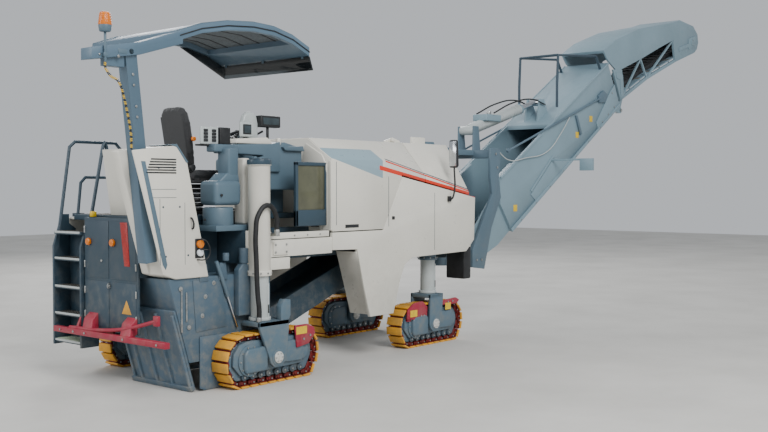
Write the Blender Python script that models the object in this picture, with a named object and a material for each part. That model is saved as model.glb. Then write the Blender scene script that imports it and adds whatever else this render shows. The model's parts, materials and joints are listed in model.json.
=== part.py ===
"""Cold planer milling machine on four tracks, modelled in metres with +Z up and +X to the front.

Every length is measured from the centre line of the rear tracks on the ground. The last function
moves the whole machine so that its origin is the middle of its footprint on the ground.
"""

from math import cos, pi, radians, sin

import bmesh
import bpy
from mathutils import Matrix, Vector

# Clearances
REST_GAP = 0.0003
SLIDE_GAP = 0.0008
RUN_GAP = 0.006
MOVE_GAP = 0.012

# Tracks
TRACK_LENGTH = 1.33
TRACK_HEIGHT = 0.55
PAD_WIDTH = 0.235
PAD_COUNT = 26
YOKE_GAP = 0.014
PAD_HEIGHT = 0.022
CHAIN_DEPTH = 0.05
FOOT_RADIUS = 0.13
FOOT_HALF = 0.47
REAR_TRACK_Y = 0.988
FRONT_TRACK_Y = 0.696
FRONT_TRACK_X = 3.11

# Columns that lift the machine
REAR_COLUMN_X = -0.107
FRONT_COLUMN_X = 3.15
COLUMN_RADIUS = 0.115
COLUMN_WALL = 0.018
REAR_COLUMN_LOW = 1.13
REAR_COLUMN_TOP = 2.30
FRONT_COLUMN_LOW = 1.10
FRONT_COLUMN_TOP = 1.95
LIFT_UP = 0.30
YOKE_WALL = 0.035
BRIDGE_STUB = 0.105
HUB_Z = 0.275
YOKE_TOP_Z = 0.66

# Body
BODY_HALF = 1.0
SKIN = 0.04
HOOD_BACK = 1.0
HOOD_FRONT = 2.72
COWL_FRONT = 3.66
BODY_FRONT = 3.80
ROOF_Z = 2.62
ROOF_HALF = 0.62
SHOULDER_Z = 2.37
SHOULDER_FRONT_Z = 1.98
SEAM_Z = 1.55
FRAME_LOW = 1.25
FRAME_TOP = 1.60
BEAM_IN = 0.50
BEAM_OUT = 0.64
DECK_Z = 1.76

# Rear end
CABINET_BACK = -1.28
LADDER_BACK = -1.31
BUMPER_Z = 0.55

# Drum
DRUM_X = -0.35
DRUM_Z = 0.50
DRUM_RADIUS = 0.425
BOX_BACK = -0.83
BOX_FRONT = 0.18
BOX_RIGHT = -0.845
BOX_LEFT = 0.145
BOX_TOP = 1.15
BOX_WALL = 0.025
BOX_LOW = 0.30
BACK_LEAN = 0.30
SCRAPER_TOP = 0.84

# Pick-up conveyor
PICKUP_Y = -0.12
PICKUP_HALF = 0.32
PICKUP_FOOT = (0.32, 0.43)
PICKUP_HEAD = (4.22, 1.88)
PICKUP_DEPTH = 0.30

# Discharge conveyor
SLEW_X = 4.35
CONVEYOR_HALF = 0.42
BELT_HALF = 0.25
TOP_SLOPE = 0.5976
ROOF_DEPTH = 0.07
PLATE = 0.03
LIFT_PIN = (4.66, 1.02)
FOLD_PIN = (9.16, 3.42)
TROUGH_FLOOR = ((5.0, 1.14), (5.64, 1.451), (9.40, 3.741))
OUTER_CHORD = ((9.26, 3.66), (10.24, 4.09), (11.48, 4.53), (12.42, 4.82))
RAM_BASE = (5.05, 2.90)
RAM_EYE = (6.95, 3.44)
ARM_WALL = 0.04

# Steering wheel
STEER_FOOT = (0.42, -0.14, 2.36)
STEER_HUB = (0.30, -0.14, 2.58)

# Canopy
POST_FOOT = (-1.31, -0.70, 1.32)
POST_TOP = (-1.53, -0.70, 3.32)
POST_WIDTH = 0.13

ROUND = 20
COLUMN_SIDES = 24


def clear_scene():
    for thing in list(bpy.data.objects):
        bpy.data.objects.remove(thing, do_unlink=True)


FINISHES = {
    "shell_white": ((0.80, 0.79, 0.74), 0.40, 0.0),
    "steel_blue": ((0.16, 0.23, 0.28), 0.45, 0.1),
    "conveyor_blue": ((0.27, 0.38, 0.43), 0.45, 0.1),
    "slate": ((0.03, 0.05, 0.07), 0.50, 0.1),
    "track_yellow": ((0.78, 0.42, 0.04), 0.50, 0.0),
    "guard_red": ((0.42, 0.02, 0.05), 0.45, 0.0),
    "black_rubber": ((0.02, 0.02, 0.02), 0.80, 0.0),
    "black_plastic": ((0.02, 0.02, 0.02), 0.55, 0.0),
    "cast_grey": ((0.10, 0.10, 0.11), 0.60, 0.6),
    "cutter_steel": ((0.20, 0.19, 0.18), 0.50, 0.8),
    "rod_chrome": ((0.60, 0.60, 0.62), 0.15, 1.0),
    "lamp_orange": ((0.85, 0.30, 0.02), 0.25, 0.0),
    "smoked_glass": ((0.06, 0.06, 0.06), 0.10, 0.0),
    "cable_yellow": ((0.55, 0.45, 0.08), 0.60, 0.0),
}


def finish(name):
    """The material of that name, made the first time that it is asked for."""
    found = bpy.data.materials.get(name)
    if found:
        return found
    colour, roughness, metallic = FINISHES[name]
    made = bpy.data.materials.new(name)
    made.use_nodes = True
    shader = made.node_tree.nodes["Principled BSDF"]
    shader.inputs["Base Color"].default_value = (*colour, 1.0)
    shader.inputs["Roughness"].default_value = roughness
    shader.inputs["Metallic"].default_value = metallic
    return made


def shape(shell):
    """An object made from a bmesh, with its faces turned outwards."""
    bmesh.ops.recalc_face_normals(shell, faces=shell.faces)
    mesh = bpy.data.meshes.new("shape")
    shell.to_mesh(mesh)
    shell.free()
    made = bpy.data.objects.new("shape", mesh)
    bpy.context.scene.collection.objects.link(made)
    return made


def box(x, y, z):
    """A block between two values on each axis."""
    shell = bmesh.new()
    bmesh.ops.create_cube(shell, size=1.0)
    middle = Vector([(a + b) / 2 for a, b in (x, y, z)])
    size = Vector([abs(b - a) for a, b in (x, y, z)])
    bmesh.ops.scale(shell, vec=size, verts=shell.verts)
    bmesh.ops.translate(shell, vec=middle, verts=shell.verts)
    return shape(shell)


def prism(outline, low, high, along="Y"):
    """A flat outline pushed from low to high: XZ points along Y, XY along Z, or YZ along X."""
    place = {
        "X": lambda a, b, c: (c, a, b),
        "Y": lambda a, b, c: (a, c, b),
        "Z": lambda a, b, c: (a, b, c),
    }[along]
    shell = bmesh.new()
    face = shell.faces.new([shell.verts.new(place(a, b, low)) for a, b in outline])
    pushed = bmesh.ops.extrude_face_region(shell, geom=[face])
    moved = [v for v in pushed["geom"] if isinstance(v, bmesh.types.BMVert)]
    bmesh.ops.translate(shell, vec=Vector(place(0, 0, high - low)), verts=moved)
    return shape(shell)


def bar(start, end, radius, sides=ROUND, tip=None):
    """A round bar between two points, or a cone if the tip has its own radius."""
    start, end = Vector(start), Vector(end)
    along = end - start
    shell = bmesh.new()
    bmesh.ops.create_cone(
        shell, cap_ends=True, segments=sides, radius1=radius,
        radius2=radius if tip is None else tip, depth=along.length,
    )
    turn = Vector((0, 0, 1)).rotation_difference(along).to_matrix().to_4x4()
    bmesh.ops.transform(
        shell, matrix=Matrix.Translation((start + end) / 2) @ turn, verts=shell.verts
    )
    return shape(shell)


def beam(start, end, wide, deep):
    """A rectangular bar between two points: wide is its size across Y, deep the other."""
    start, end = Vector(start), Vector(end)
    along = (end - start).normalized()
    side = Vector((0, 1, 0)) if abs(along.y) < 0.9 else Vector((1, 0, 0))
    side = (side - along * side.dot(along)).normalized()
    up = along.cross(side)
    shell = bmesh.new()
    ends = []
    for point in (start, end):
        corners = ((1, 1), (-1, 1), (-1, -1), (1, -1))
        ends.append([
            shell.verts.new(point + side * (a * wide / 2) + up * (b * deep / 2)) for a, b in corners
        ])
    for corner in range(4):
        after = (corner + 1) % 4
        shell.faces.new((ends[0][corner], ends[0][after], ends[1][after], ends[1][corner]))
    shell.faces.new(ends[0][::-1])
    shell.faces.new(ends[1])
    return shape(shell)


def pipe(points, radius, resolution=2, cyclic=False):
    """A round pipe along a poly line, with filled ends."""
    curve = bpy.data.curves.new("pipe", "CURVE")
    curve.dimensions = "3D"
    curve.bevel_depth = radius
    curve.bevel_resolution = resolution
    curve.use_fill_caps = True
    spline = curve.splines.new("POLY")
    spline.points.add(len(points) - 1)
    for point, place in zip(spline.points, points):
        point.co = (*place, 1.0)
    spline.use_cyclic_u = cyclic
    made = bpy.data.objects.new("pipe", curve)
    bpy.context.scene.collection.objects.link(made)
    return made


def smooth_points(points, step):
    """Points of a Catmull-Rom curve through the given ones, about a step apart."""
    ends = [Vector(points[0])] + [Vector(p) for p in points] + [Vector(points[-1])]
    made = []
    for a, b, c, d in zip(ends, ends[1:], ends[2:], ends[3:]):
        count = max(1, round((c - b).length / step))
        for k in range(count):
            t = k / count
            made.append(0.5 * (2 * b + (c - a) * t + (2 * a - 5 * b + 4 * c - d) * t ** 2
                               + (3 * b - a - 3 * c + d) * t ** 3))
    return made + [Vector(points[-1])]


def as_mesh(made):
    """The same object with its curve turned into a closed mesh."""
    if made.type == "MESH":
        return made
    graph = bpy.context.evaluated_depsgraph_get()
    mesh = bpy.data.meshes.new_from_object(made.evaluated_get(graph))
    shell = bmesh.new()
    shell.from_mesh(mesh)
    bmesh.ops.remove_doubles(shell, verts=shell.verts, dist=0.0001)
    bpy.data.objects.remove(made, do_unlink=True)
    return shape(shell)


def node(name, look, parts, cuts=()):
    """One named piece: its parts joined by Booleans, less its cuts."""
    main, *others = [as_mesh(part) for part in parts]
    main.name = name
    main.data.name = name
    main.data.materials.clear()
    main.data.materials.append(finish(look))
    for operation, operands in (("UNION", others), ("DIFFERENCE", cuts)):
        for operand in operands:
            joining = main.modifiers.new(operation.lower(), "BOOLEAN")
            joining.operation = operation
            joining.solver = "EXACT"
            joining.object = operand
            operand.name = name + "_tool"
            operand.hide_render = True
            operand.display_type = "WIRE"
    main.data.shade_smooth()
    main.data.set_sharp_from_angle(angle=radians(35))
    return main


def mirrored(y, side):
    """A range across Y, given for the left side, on the side asked for."""
    low, high = y
    return (low, high) if side > 0 else (-high, -low)


def hang(name, place, pieces):
    """An empty on a joint's axis, which carries the pieces that move about it."""
    pivot = bpy.data.objects.new(name, None)
    pivot.empty_display_size = 0.2
    bpy.context.scene.collection.objects.link(pivot)
    pivot.location = place
    bpy.context.view_layer.update()
    for piece in pieces:
        piece.parent = pivot
        piece.matrix_parent_inverse = pivot.matrix_world.inverted()
    return pivot


# ---------------------------------------------------------------- tracks and legs


def track_outline(inset):
    """The closed run of a track in its own XZ plane: two end rounds over two foot rounds."""
    end = TRACK_HEIGHT / 2
    rounds = (
        (TRACK_LENGTH / 2 - end, end, end),
        (-TRACK_LENGTH / 2 + end, end, end),
        (-FOOT_HALF, FOOT_RADIUS, FOOT_RADIUS),
        (FOOT_HALF, FOOT_RADIUS, FOOT_RADIUS),
    )
    spans = ((-20, 90), (90, 200), (200, 270), (270, 340))
    points = []
    for (x, z, radius), (first, last) in zip(rounds, spans):
        steps = max(3, round((last - first) / 14))
        for step in range(steps + 1):
            turn = radians(first + (last - first) * step / steps)
            points.append(Vector((x + (radius - inset) * cos(turn), z + (radius - inset) * sin(turn))))
    return points


def even_points(points, count):
    """Points at even steps along a closed outline, with the outward normal of each."""
    closed = points + [points[0]]
    lengths = [(b - a).length for a, b in zip(closed, closed[1:])]
    whole = sum(lengths)
    made = []
    for k in range(count):
        left = whole * k / count
        for (a, b), length in zip(zip(closed, closed[1:]), lengths):
            if left <= length:
                break
            left -= length
        along = (b - a).normalized()
        made.append((a + along * left, Vector((along.y, -along.x))))
    return made


def track_loop(name, x, y):
    """The fixed loop of a track, with each shoe standing out of its chain."""
    chain = track_outline(PAD_HEIGHT)
    quarter = even_points(chain, PAD_COUNT * 4)
    outline = []
    for index, (point, outward) in enumerate(quarter):
        lift = PAD_HEIGHT if index % 4 in (0, 1, 2) else 0.004
        outline.append(point + outward * lift)
    low, high = y - PAD_WIDTH / 2, y + PAD_WIDTH / 2
    rim = prism([(x + p.x, p.y) for p in outline], low, high)
    inner = [(x + p.x, p.y) for p in track_outline(PAD_HEIGHT + CHAIN_DEPTH)]
    hollow = prism(inner, low - PLATE, high + PLATE)
    return node(name, "track_yellow", [rim], [hollow])


def track_frame(name, x, y, outer, sides):
    """The frame that fills a track: end wheels, side frame, drive box and top guards."""
    inset = PAD_HEIGHT + CHAIN_DEPTH + REST_GAP
    half = PAD_WIDTH / 2 - 0.035
    core = prism([(x + p.x, p.y) for p in track_outline(inset)], y - half, y + half)
    face = y + outer * half
    drive = bar((x - 0.33, face - outer * 0.02, 0.275), (x - 0.33, face + outer * 0.07, 0.275), 0.12)
    idler = bar((x + 0.36, face - outer * 0.02, 0.275), (x + 0.36, face + outer * 0.05, 0.275), 0.10)
    side = box((x - 0.30, x + 0.34), sorted((face - outer * 0.02, face + outer * 0.045)), (0.15, 0.40))
    reach = PAD_WIDTH / 2 + YOKE_GAP - REST_GAP
    low, high = (y + side * (reach if side in sides else 0) for side in (-1, 1))
    hub = bar((x, low, HUB_Z), (x, high, HUB_Z), 0.07)
    guards = red_guards(x, y, outer)
    return node(name, "steel_blue", [core, side, drive, idler, hub] + guards)


def yoke_parts(x, y, column_x, sides):
    """The fork over a track: a bridge above it and a cheek down to the hub on the sides asked for."""
    inner, outer = PAD_WIDTH / 2 + YOKE_GAP, PAD_WIDTH / 2 + YOKE_GAP + YOKE_WALL
    low = y - (outer if -1 in sides else BRIDGE_STUB)
    high = y + (outer if 1 in sides else BRIDGE_STUB)
    parts = [box((column_x - 0.15, x + 0.16), (low, high), (YOKE_TOP_Z - 0.05, YOKE_TOP_Z))]
    for side in sides:
        low, high = sorted((side * inner, side * outer))
        cheek = [
            (column_x - 0.15, YOKE_TOP_Z), (column_x - 0.15, YOKE_TOP_Z - 0.06), (x - 0.12, HUB_Z),
            (x - 0.06, HUB_Z - 0.10), (x + 0.06, HUB_Z - 0.10), (x + 0.12, HUB_Z),
            (x + 0.16, YOKE_TOP_Z - 0.06), (x + 0.16, YOKE_TOP_Z),
        ]
        parts.append(prism(cheek, y + low, y + high))
    return parts


def red_guards(x, y, outer):
    """The shield over the front of a track, on a bracket from the side frame."""
    face = y + outer * (PAD_WIDTH / 2 + RUN_GAP)
    low, high = sorted((face, face + outer * 0.02))
    outline = [(x + 0.34, 0.36), (x + 0.50, 0.40), (x + 0.46, 0.60), (x + 0.22, 0.60), (x + 0.22, 0.36)]
    shield = prism(outline, low, high)
    bracket = box((x + 0.24, x + 0.32), sorted((face + outer * 0.01, face - outer * 0.05)), (0.34, 0.39))
    return [shield, bracket]


def leg(corner, x, y, column_x, steered, sides=(1, -1)):
    """The running gear of one corner, from the sliding tube down to the track."""
    outer = 1 if y > 0 else -1
    tube_radius = COLUMN_RADIUS - COLUMN_WALL - SLIDE_GAP
    tube_top = (FRONT_COLUMN_TOP if steered else REAR_COLUMN_TOP) - LIFT_UP - 0.12
    tube_low = YOKE_TOP_Z + (REST_GAP if steered else -0.01)
    tube = bar((column_x, y, tube_low), (column_x, y, tube_top), tube_radius, COLUMN_SIDES)
    fork = yoke_parts(x, y, column_x, sides)
    pieces = [track_loop(f"{corner}_track", x, y), track_frame(f"{corner}_track_frame", x, y, outer, sides)]
    if steered:
        tube = node(f"{corner}_leg_tube", "steel_blue", [tube])
        yoke = node(f"{corner}_yoke", "steel_blue", fork)
        hang(f"{corner}_lift_axis", (column_x, y, tube_low), [tube])
        hang(f"{corner}_steer_axis", (column_x, y, tube_low), [yoke] + pieces)
    else:
        yoke = node(f"{corner}_leg", "steel_blue", fork + [tube])
        hang(f"{corner}_lift_axis", (column_x, y, tube_low), [yoke] + pieces)


def column(name, x, y, low, top, look):
    """A fixed outer tube, open below, with a flat cap."""
    tube = bar((x, y, low), (x, y, top), COLUMN_RADIUS, COLUMN_SIDES)
    cap = bar((x, y, top - 0.02), (x, y, top + 0.04), COLUMN_RADIUS + 0.015, COLUMN_SIDES)
    bore = bar((x, y, low - 0.1), (x, y, top - 0.06), COLUMN_RADIUS - COLUMN_WALL, COLUMN_SIDES)
    return node(name, look, [tube, cap], [bore])


# ---------------------------------------------------------------- body


def shoulder_z(x):
    """Height of the crease between the body's side and its sloping top."""
    share = max(0.0, (x - 1.90) / (COWL_FRONT - 1.90))
    return SHOULDER_Z + (SHOULDER_FRONT_Z - SHOULDER_Z) * share


def stripe_z(x):
    """Height of the lower edge of the striped band, where the side panel meets hood and cowl."""
    return 2.20 - 0.25 * (x - 2.25) / (COWL_FRONT - 2.25)


def loft(rings):
    """A closed solid through rings that all have the same number of points."""
    shell = bmesh.new()
    rows = [[shell.verts.new(point) for point in ring] for ring in rings]
    for here, there in zip(rows, rows[1:]):
        for k in range(len(here)):
            after = (k + 1) % len(here)
            shell.faces.new((here[k], here[after], there[after], there[k]))
    shell.faces.new(rows[0][::-1])
    shell.faces.new(rows[-1])
    return shape(shell)


def body_ring(x, inset, low):
    """A slice across the body at x: sides, sloping shoulders and flat roof."""
    half, roof, top = BODY_HALF - inset, ROOF_HALF - inset / 2, ROOF_Z - inset
    knee = shoulder_z(x) - inset / 2
    outline = ((-half, low), (-half, knee), (-roof, top), (roof, top), (half, knee), (half, low))
    return [(x, y, z) for y, z in outline]


def cover_shell(back, front, low, closed_front):
    """A hollow cover that follows the body's slices from back to front, open below."""
    bends = [x for x in (1.90,) if back < x < front]
    outer = loft([body_ring(x, 0, low) for x in (back, *bends, front)])
    deep = front - SKIN if closed_front else front + 0.1
    inner = loft([body_ring(x, SKIN, low - 0.1) for x in (back - 0.1, *bends, deep)])
    return outer, inner


def engine_hood():
    outer, inner = cover_shell(HOOD_BACK, HOOD_FRONT - MOVE_GAP, SEAM_Z, False)
    reach = BODY_HALF + 0.1
    beyond = HOOD_FRONT + 0.1
    seam = prism(
        [(1.89, SEAM_Z - 0.1), (1.89, SEAM_Z), (2.25, stripe_z(2.25)), (beyond, stripe_z(beyond)),
         (beyond, SEAM_Z - 0.1)], -reach, reach,
    )
    lugs = []
    for side in (1, -1):
        low, high = sorted((side * 0.40, side * 0.44))
        lugs.append(prism(
            [(HOOD_FRONT - 0.12, ROOF_Z - 0.02), (HOOD_FRONT - 0.12, ROOF_Z + 0.03),
             (HOOD_FRONT + 0.03, ROOF_Z + 0.07), (HOOD_FRONT + 0.03, ROOF_Z + 0.02),
             (HOOD_FRONT - 0.03, ROOF_Z + 0.012), (HOOD_FRONT - 0.04, ROOF_Z - 0.02)],
            low, high))
    hood = node("engine_hood", "shell_white", [outer] + lugs, [inner, seam])
    hang("hood_axis", (HOOD_FRONT, 0, ROOF_Z + 0.04), [hood])


def front_cowl():
    outer, inner = cover_shell(HOOD_FRONT, COWL_FRONT, 1.90, True)
    reach = BODY_HALF + 0.1
    under = prism(
        [(HOOD_FRONT - 0.1, 1.7), (COWL_FRONT + 0.1, 1.7), (COWL_FRONT + 0.1, stripe_z(COWL_FRONT + 0.1)),
         (HOOD_FRONT - 0.1, stripe_z(HOOD_FRONT - 0.1))], -reach, reach,
    )
    lugs = []
    for side in (1, -1):
        low, high = sorted((side * (0.44 + SLIDE_GAP), side * 0.48))
        lugs.append(prism(
            [(HOOD_FRONT - 0.03, ROOF_Z + 0.02), (HOOD_FRONT - 0.03, ROOF_Z + 0.07),
             (HOOD_FRONT + 0.12, ROOF_Z + 0.03), (HOOD_FRONT + 0.12, ROOF_Z - 0.02),
             (HOOD_FRONT + 0.02, ROOF_Z - 0.02), (HOOD_FRONT + 0.01, ROOF_Z + 0.012)],
            low, high))
    eye = box((3.05, 3.32), (-0.52, -0.48), (ROOF_Z - 0.02, ROOF_Z + 0.09))
    node("front_cowl", "shell_white", [outer, eye] + lugs, [inner, under])


def rear_bulkhead():
    """The wall behind the engine, closed up to just under the hood's roof."""
    ring = body_ring(HOOD_BACK + 0.03, SKIN + MOVE_GAP, FRAME_TOP + REST_GAP)
    plate = prism([(y, z) for _, y, z in ring], HOOD_BACK + 0.02, HOOD_BACK + 0.06, "X")
    node("rear_bulkhead", "shell_white", [plate])


def side_panel(name, side):
    """The lower side of the body with the tank that hangs between the tracks."""
    gap = MOVE_GAP
    back = HOOD_BACK
    outline = [
        (back, SEAM_Z - gap), (back, 1.34), (1.42, 1.33), (1.55, 0.85), (1.65, 0.52), (2.08, 0.52),
        (2.21, 0.92), (2.30, 1.10), (2.45, 1.18), (3.60, 1.20), (3.78, 1.35), (BODY_FRONT, 1.92),
        (COWL_FRONT, stripe_z(COWL_FRONT) - gap), (2.25, stripe_z(2.25) - gap - 0.01), (1.89, SEAM_Z - gap),
    ]
    low, high = mirrored((BODY_HALF - SKIN, BODY_HALF), side)
    plate = prism(outline, low, high)
    tank_low, tank_high = mirrored((0.66, BODY_HALF - SKIN / 2), side)
    tank = prism(
        [(1.42, 1.30), (1.57, 0.85), (1.67, 0.54), (2.06, 0.54), (2.19, 0.93), (2.28, 1.12), (2.30, 1.30)],
        tank_low, tank_high,
    )
    ties = [box((x, x + 0.10), mirrored((BEAM_OUT + REST_GAP, BODY_HALF - SKIN / 2), side), (1.36, 1.46))
            for x in (1.10, 2.60, 3.50)]
    node(name, "shell_white", [plate, tank] + ties)


def main_frame():
    """Two long beams, the rear cross box, the front wall and the seats for the four columns."""
    beams = [box((-0.20, 3.75), mirrored((BEAM_IN, BEAM_OUT), side), (FRAME_LOW, FRAME_TOP))
             for side in (1, -1)]
    rear = box((-0.22, 0.06), (-0.93, 0.93), (FRAME_LOW, FRAME_TOP))
    front = box((3.70, 3.78), (-0.94, 0.94), (FRAME_LOW, 1.90))
    lip = box((COWL_FRONT - SKIN, 3.72), (-0.90, 0.90), (1.84, stripe_z(COWL_FRONT) - REST_GAP))
    door = box((3.5, 3.9), (PICKUP_Y - PICKUP_HALF - 0.04, PICKUP_Y + PICKUP_HALF + 0.04), (1.42, 2.0))
    seats = [box((FRONT_COLUMN_X - 0.18, FRONT_COLUMN_X + 0.18), mirrored((BEAM_OUT - 0.01, 0.87), side),
                 (FRAME_LOW, FRAME_TOP)) for side in (1, -1)]
    cuts = [door]
    for side in (1, -1):
        for x, y in ((REAR_COLUMN_X, REAR_TRACK_Y), (FRONT_COLUMN_X, FRONT_TRACK_Y)):
            cuts.append(bar((x, side * y, 0.9), (x, side * y, 2.0), COLUMN_RADIUS + REST_GAP, COLUMN_SIDES))
    white = box((0.0, 1.0 - REST_GAP), (-0.99, -0.93), (1.31, 1.49))
    web = box((0.0, 0.06), (-0.99, -0.90), (1.27, 1.58))
    return node("main_frame", "slate", [beams[0], rear, beams[1], front, lip, *seats, web, white], cuts)


def engine_block():
    node("engine_block", "cast_grey", [box((1.25, 2.45), (-0.60, 0.60), (FRAME_TOP + REST_GAP, 2.35))])


def slew_mount():
    """The two shelves on the front wall that hold the conveyor's upright pivot."""
    face = 3.78 + REST_GAP
    low = box((face, SLEW_X + 0.14), (-0.16, 0.16), (1.10, 1.18))
    low_wall = box((face, face + 0.05), (-0.30, 0.30), (1.08, 1.40))
    posts = [box((face, face + 0.05), mirrored((0.44, 0.50), side), (1.08, 2.46)) for side in (1, -1)]
    rail = box((face, face + 0.05), (-0.50, 0.50), (2.36, 2.46))
    sill = box((face, face + 0.05), (-0.50, 0.50), (1.08, 1.20))
    top = box((face, SLEW_X + 0.14), (-0.20, 0.20), (2.38, 2.46))
    return node("slew_mount", "slate", [sill, low, low_wall, *posts, rail, top])


def pickup_conveyor():
    """The trough that climbs from the drum box to the front, between the frame beams."""
    low = (PICKUP_FOOT[0], PICKUP_Y, PICKUP_FOOT[1])
    high = (PICKUP_HEAD[0], PICKUP_Y, PICKUP_HEAD[1])
    trough = beam(low, high, 2 * PICKUP_HALF, PICKUP_DEPTH)
    up = Vector(high) - Vector(low)
    lift = Vector((-up.z, 0, up.x)).normalized() * 0.10
    groove = beam(Vector(low) + lift - up * 0.1, Vector(high) + lift + up * 0.1, 2 * PICKUP_HALF - 0.08, 0.15)
    return node("pickup_conveyor", "slate", [trough], [groove])


def back_x(z):
    """How far back the leaning rear wall of the drum box stands at height z."""
    return BOX_BACK - BACK_LEAN * z


def drum_housing():
    outline = [(BOX_FRONT, BOX_LOW), (BOX_FRONT, BOX_TOP), (back_x(BOX_TOP), BOX_TOP),
               (back_x(BOX_LOW), BOX_LOW)]
    outer = prism(outline, BOX_RIGHT, BOX_LEFT)
    low, high = BOX_LOW - 0.1, BOX_TOP - 0.10
    inner = prism(
        [(BOX_FRONT - BOX_WALL, low), (BOX_FRONT - BOX_WALL, high), (back_x(high) + BOX_WALL, high),
         (back_x(low) + BOX_WALL, low)], BOX_RIGHT + BOX_WALL, BOX_LEFT - BOX_WALL,
    )
    mouth = box((BOX_FRONT - 0.1, BOX_FRONT + 0.1), (PICKUP_Y - 0.33, BOX_LEFT - BOX_WALL),
                (BOX_LOW - 0.1, 0.62))
    back = box((BOX_BACK - 0.4, BOX_BACK + 0.1), (BOX_RIGHT + 0.05, BOX_LEFT - 0.05), (BOX_LOW - 0.1, 0.75))
    riser = box((-0.20, 0.04), (-0.60, 0.10), (BOX_TOP - 0.01, FRAME_LOW - REST_GAP))
    return node("drum_housing", "steel_blue", [outer, riser], [inner, mouth, back])


def milling_drum():
    """The toothed drum: a barrel with its cutter rows as low ribs, on a shaft."""
    half = (BOX_LEFT - BOX_RIGHT) / 2 - BOX_WALL - MOVE_GAP
    middle = (BOX_LEFT + BOX_RIGHT) / 2
    barrel = bar((DRUM_X, middle - half, DRUM_Z), (DRUM_X, middle + half, DRUM_Z), DRUM_RADIUS - 0.09, 24)
    ribs = []
    for k in range(7):
        y = middle - half + 0.05 + k * (2 * half - 0.1) / 6
        ribs.append(bar((DRUM_X, y - 0.03, DRUM_Z), (DRUM_X, y + 0.03, DRUM_Z), DRUM_RADIUS, 16))
    shaft_half = (BOX_LEFT - BOX_RIGHT) / 2 - BOX_WALL - SLIDE_GAP
    shaft = bar((DRUM_X, middle - shaft_half, DRUM_Z), (DRUM_X, middle + shaft_half, DRUM_Z), 0.12)
    drum = node("milling_drum", "cutter_steel", [barrel, shaft] + ribs)
    hang("drum_axis", (DRUM_X, middle, DRUM_Z), [drum])


def edge_plates():
    """The two plates that slide up beside the drum, and the scraper behind it."""
    for name, y in (
        ("side_plate_right", BOX_RIGHT - SLIDE_GAP - 0.018), ("side_plate_left", BOX_LEFT + SLIDE_GAP),
    ):
        outline = [(-0.80, 0.03), (-0.74, 0.005), (0.06, 0.005), (0.14, 0.06), (0.14, 0.55), (-0.80, 0.55)]
        plate = node(name, "steel_blue", [prism(outline, y, y + 0.018)])
        hang(name + "_axis", (DRUM_X, y, DRUM_Z), [plate])
    leaning = Vector((-BACK_LEAN, 0, 1)).normalized()
    outward = Vector((-leaning.z, 0, leaning.x))
    pieces = []
    low_y, high_y = BOX_RIGHT + 0.01, BOX_LEFT - 0.01
    for first, last, y0, y1, z0, z1 in (
        (0.0, 0.025, low_y, high_y, 0.02, SCRAPER_TOP), (0.02, 0.06, low_y, high_y, 0.02, 0.07),
        *((0.02, 0.05, y, y + 0.03, 0.05, SCRAPER_TOP - 0.04) for y in (-0.82, -0.55, -0.30, -0.05, 0.08)),
    ):
        base = Vector((BOX_BACK, 0, 0)) + outward * SLIDE_GAP
        corners = [base + leaning * (z / leaning.z) + outward * out
                   for z, out in ((z0, first), (z0, last), (z1, last), (z1, first))]
        pieces.append(prism([(c.x, c.z) for c in corners], y0, y1))
    scraper = node("scraper", "steel_blue", pieces)
    hang("scraper_axis", (BOX_BACK, 0, SCRAPER_TOP), [scraper])


# ---------------------------------------------------------------- rear end and platform


def platform_deck():
    deck = box((-1.12, 0.92), (-0.50, 0.86), (DECK_Z - 0.06, DECK_Z))
    risers = [box((-0.20, 0.04), (-0.45, 0.45), (FRAME_TOP + REST_GAP, DECK_Z - 0.05)),
              box((0.80, 0.90), (BEAM_IN, BEAM_OUT), (FRAME_TOP + REST_GAP, DECK_Z - 0.05))]
    node("platform_deck", "slate", [deck] + risers)


def post_point(z):
    """The centre of the canopy post at height z."""
    foot, top = Vector(POST_FOOT), Vector(POST_TOP)
    return foot + (top - foot) * ((z - foot.z) / (top.z - foot.z))


def rear_cover_right():
    """The tall white box at the machine's rear right, which also guides the canopy post."""
    outline = [(-1.25, 1.20), (-1.10, BOX_TOP + REST_GAP), (-0.69, BOX_TOP + REST_GAP), (-0.95, 2.29),
               (-1.09, 2.46), (-1.60, 2.40)]
    cover = prism(outline, -0.87, -0.52)
    behind = Vector((-0.5, 0, 0))
    ends = [post_point(0.8), post_point(2.8)]
    front = Vector((POST_WIDTH / 2 + SLIDE_GAP, 0, 0))
    outline = [ends[0] + behind, ends[1] + behind, ends[1] + front, ends[0] + front]
    channel = prism([(p.x, p.z) for p in outline], -0.85, POST_FOOT[1] + POST_WIDTH / 2 + SLIDE_GAP)
    node("rear_cover_right", "shell_white", [cover], [channel])


def rear_cabinet():
    """The dark cabinet over the drum box, its rear panel and the white panel behind the seat."""
    body = box((-1.26, -0.26), (-0.50, 0.42), (BOX_TOP + REST_GAP, DECK_Z - 0.06 - REST_GAP))
    panel = box((CABINET_BACK, -1.25), (-0.50, 0.42), (0.58, DECK_Z - 0.02))
    node("rear_cabinet", "slate", [body, panel])
    wall = prism([(-1.12, DECK_Z + REST_GAP), (-1.06, DECK_Z + REST_GAP), (-1.16, 2.44), (-1.22, 2.44)],
                 -0.48, 0.18)
    node("rear_wall", "shell_white", [wall])


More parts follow.
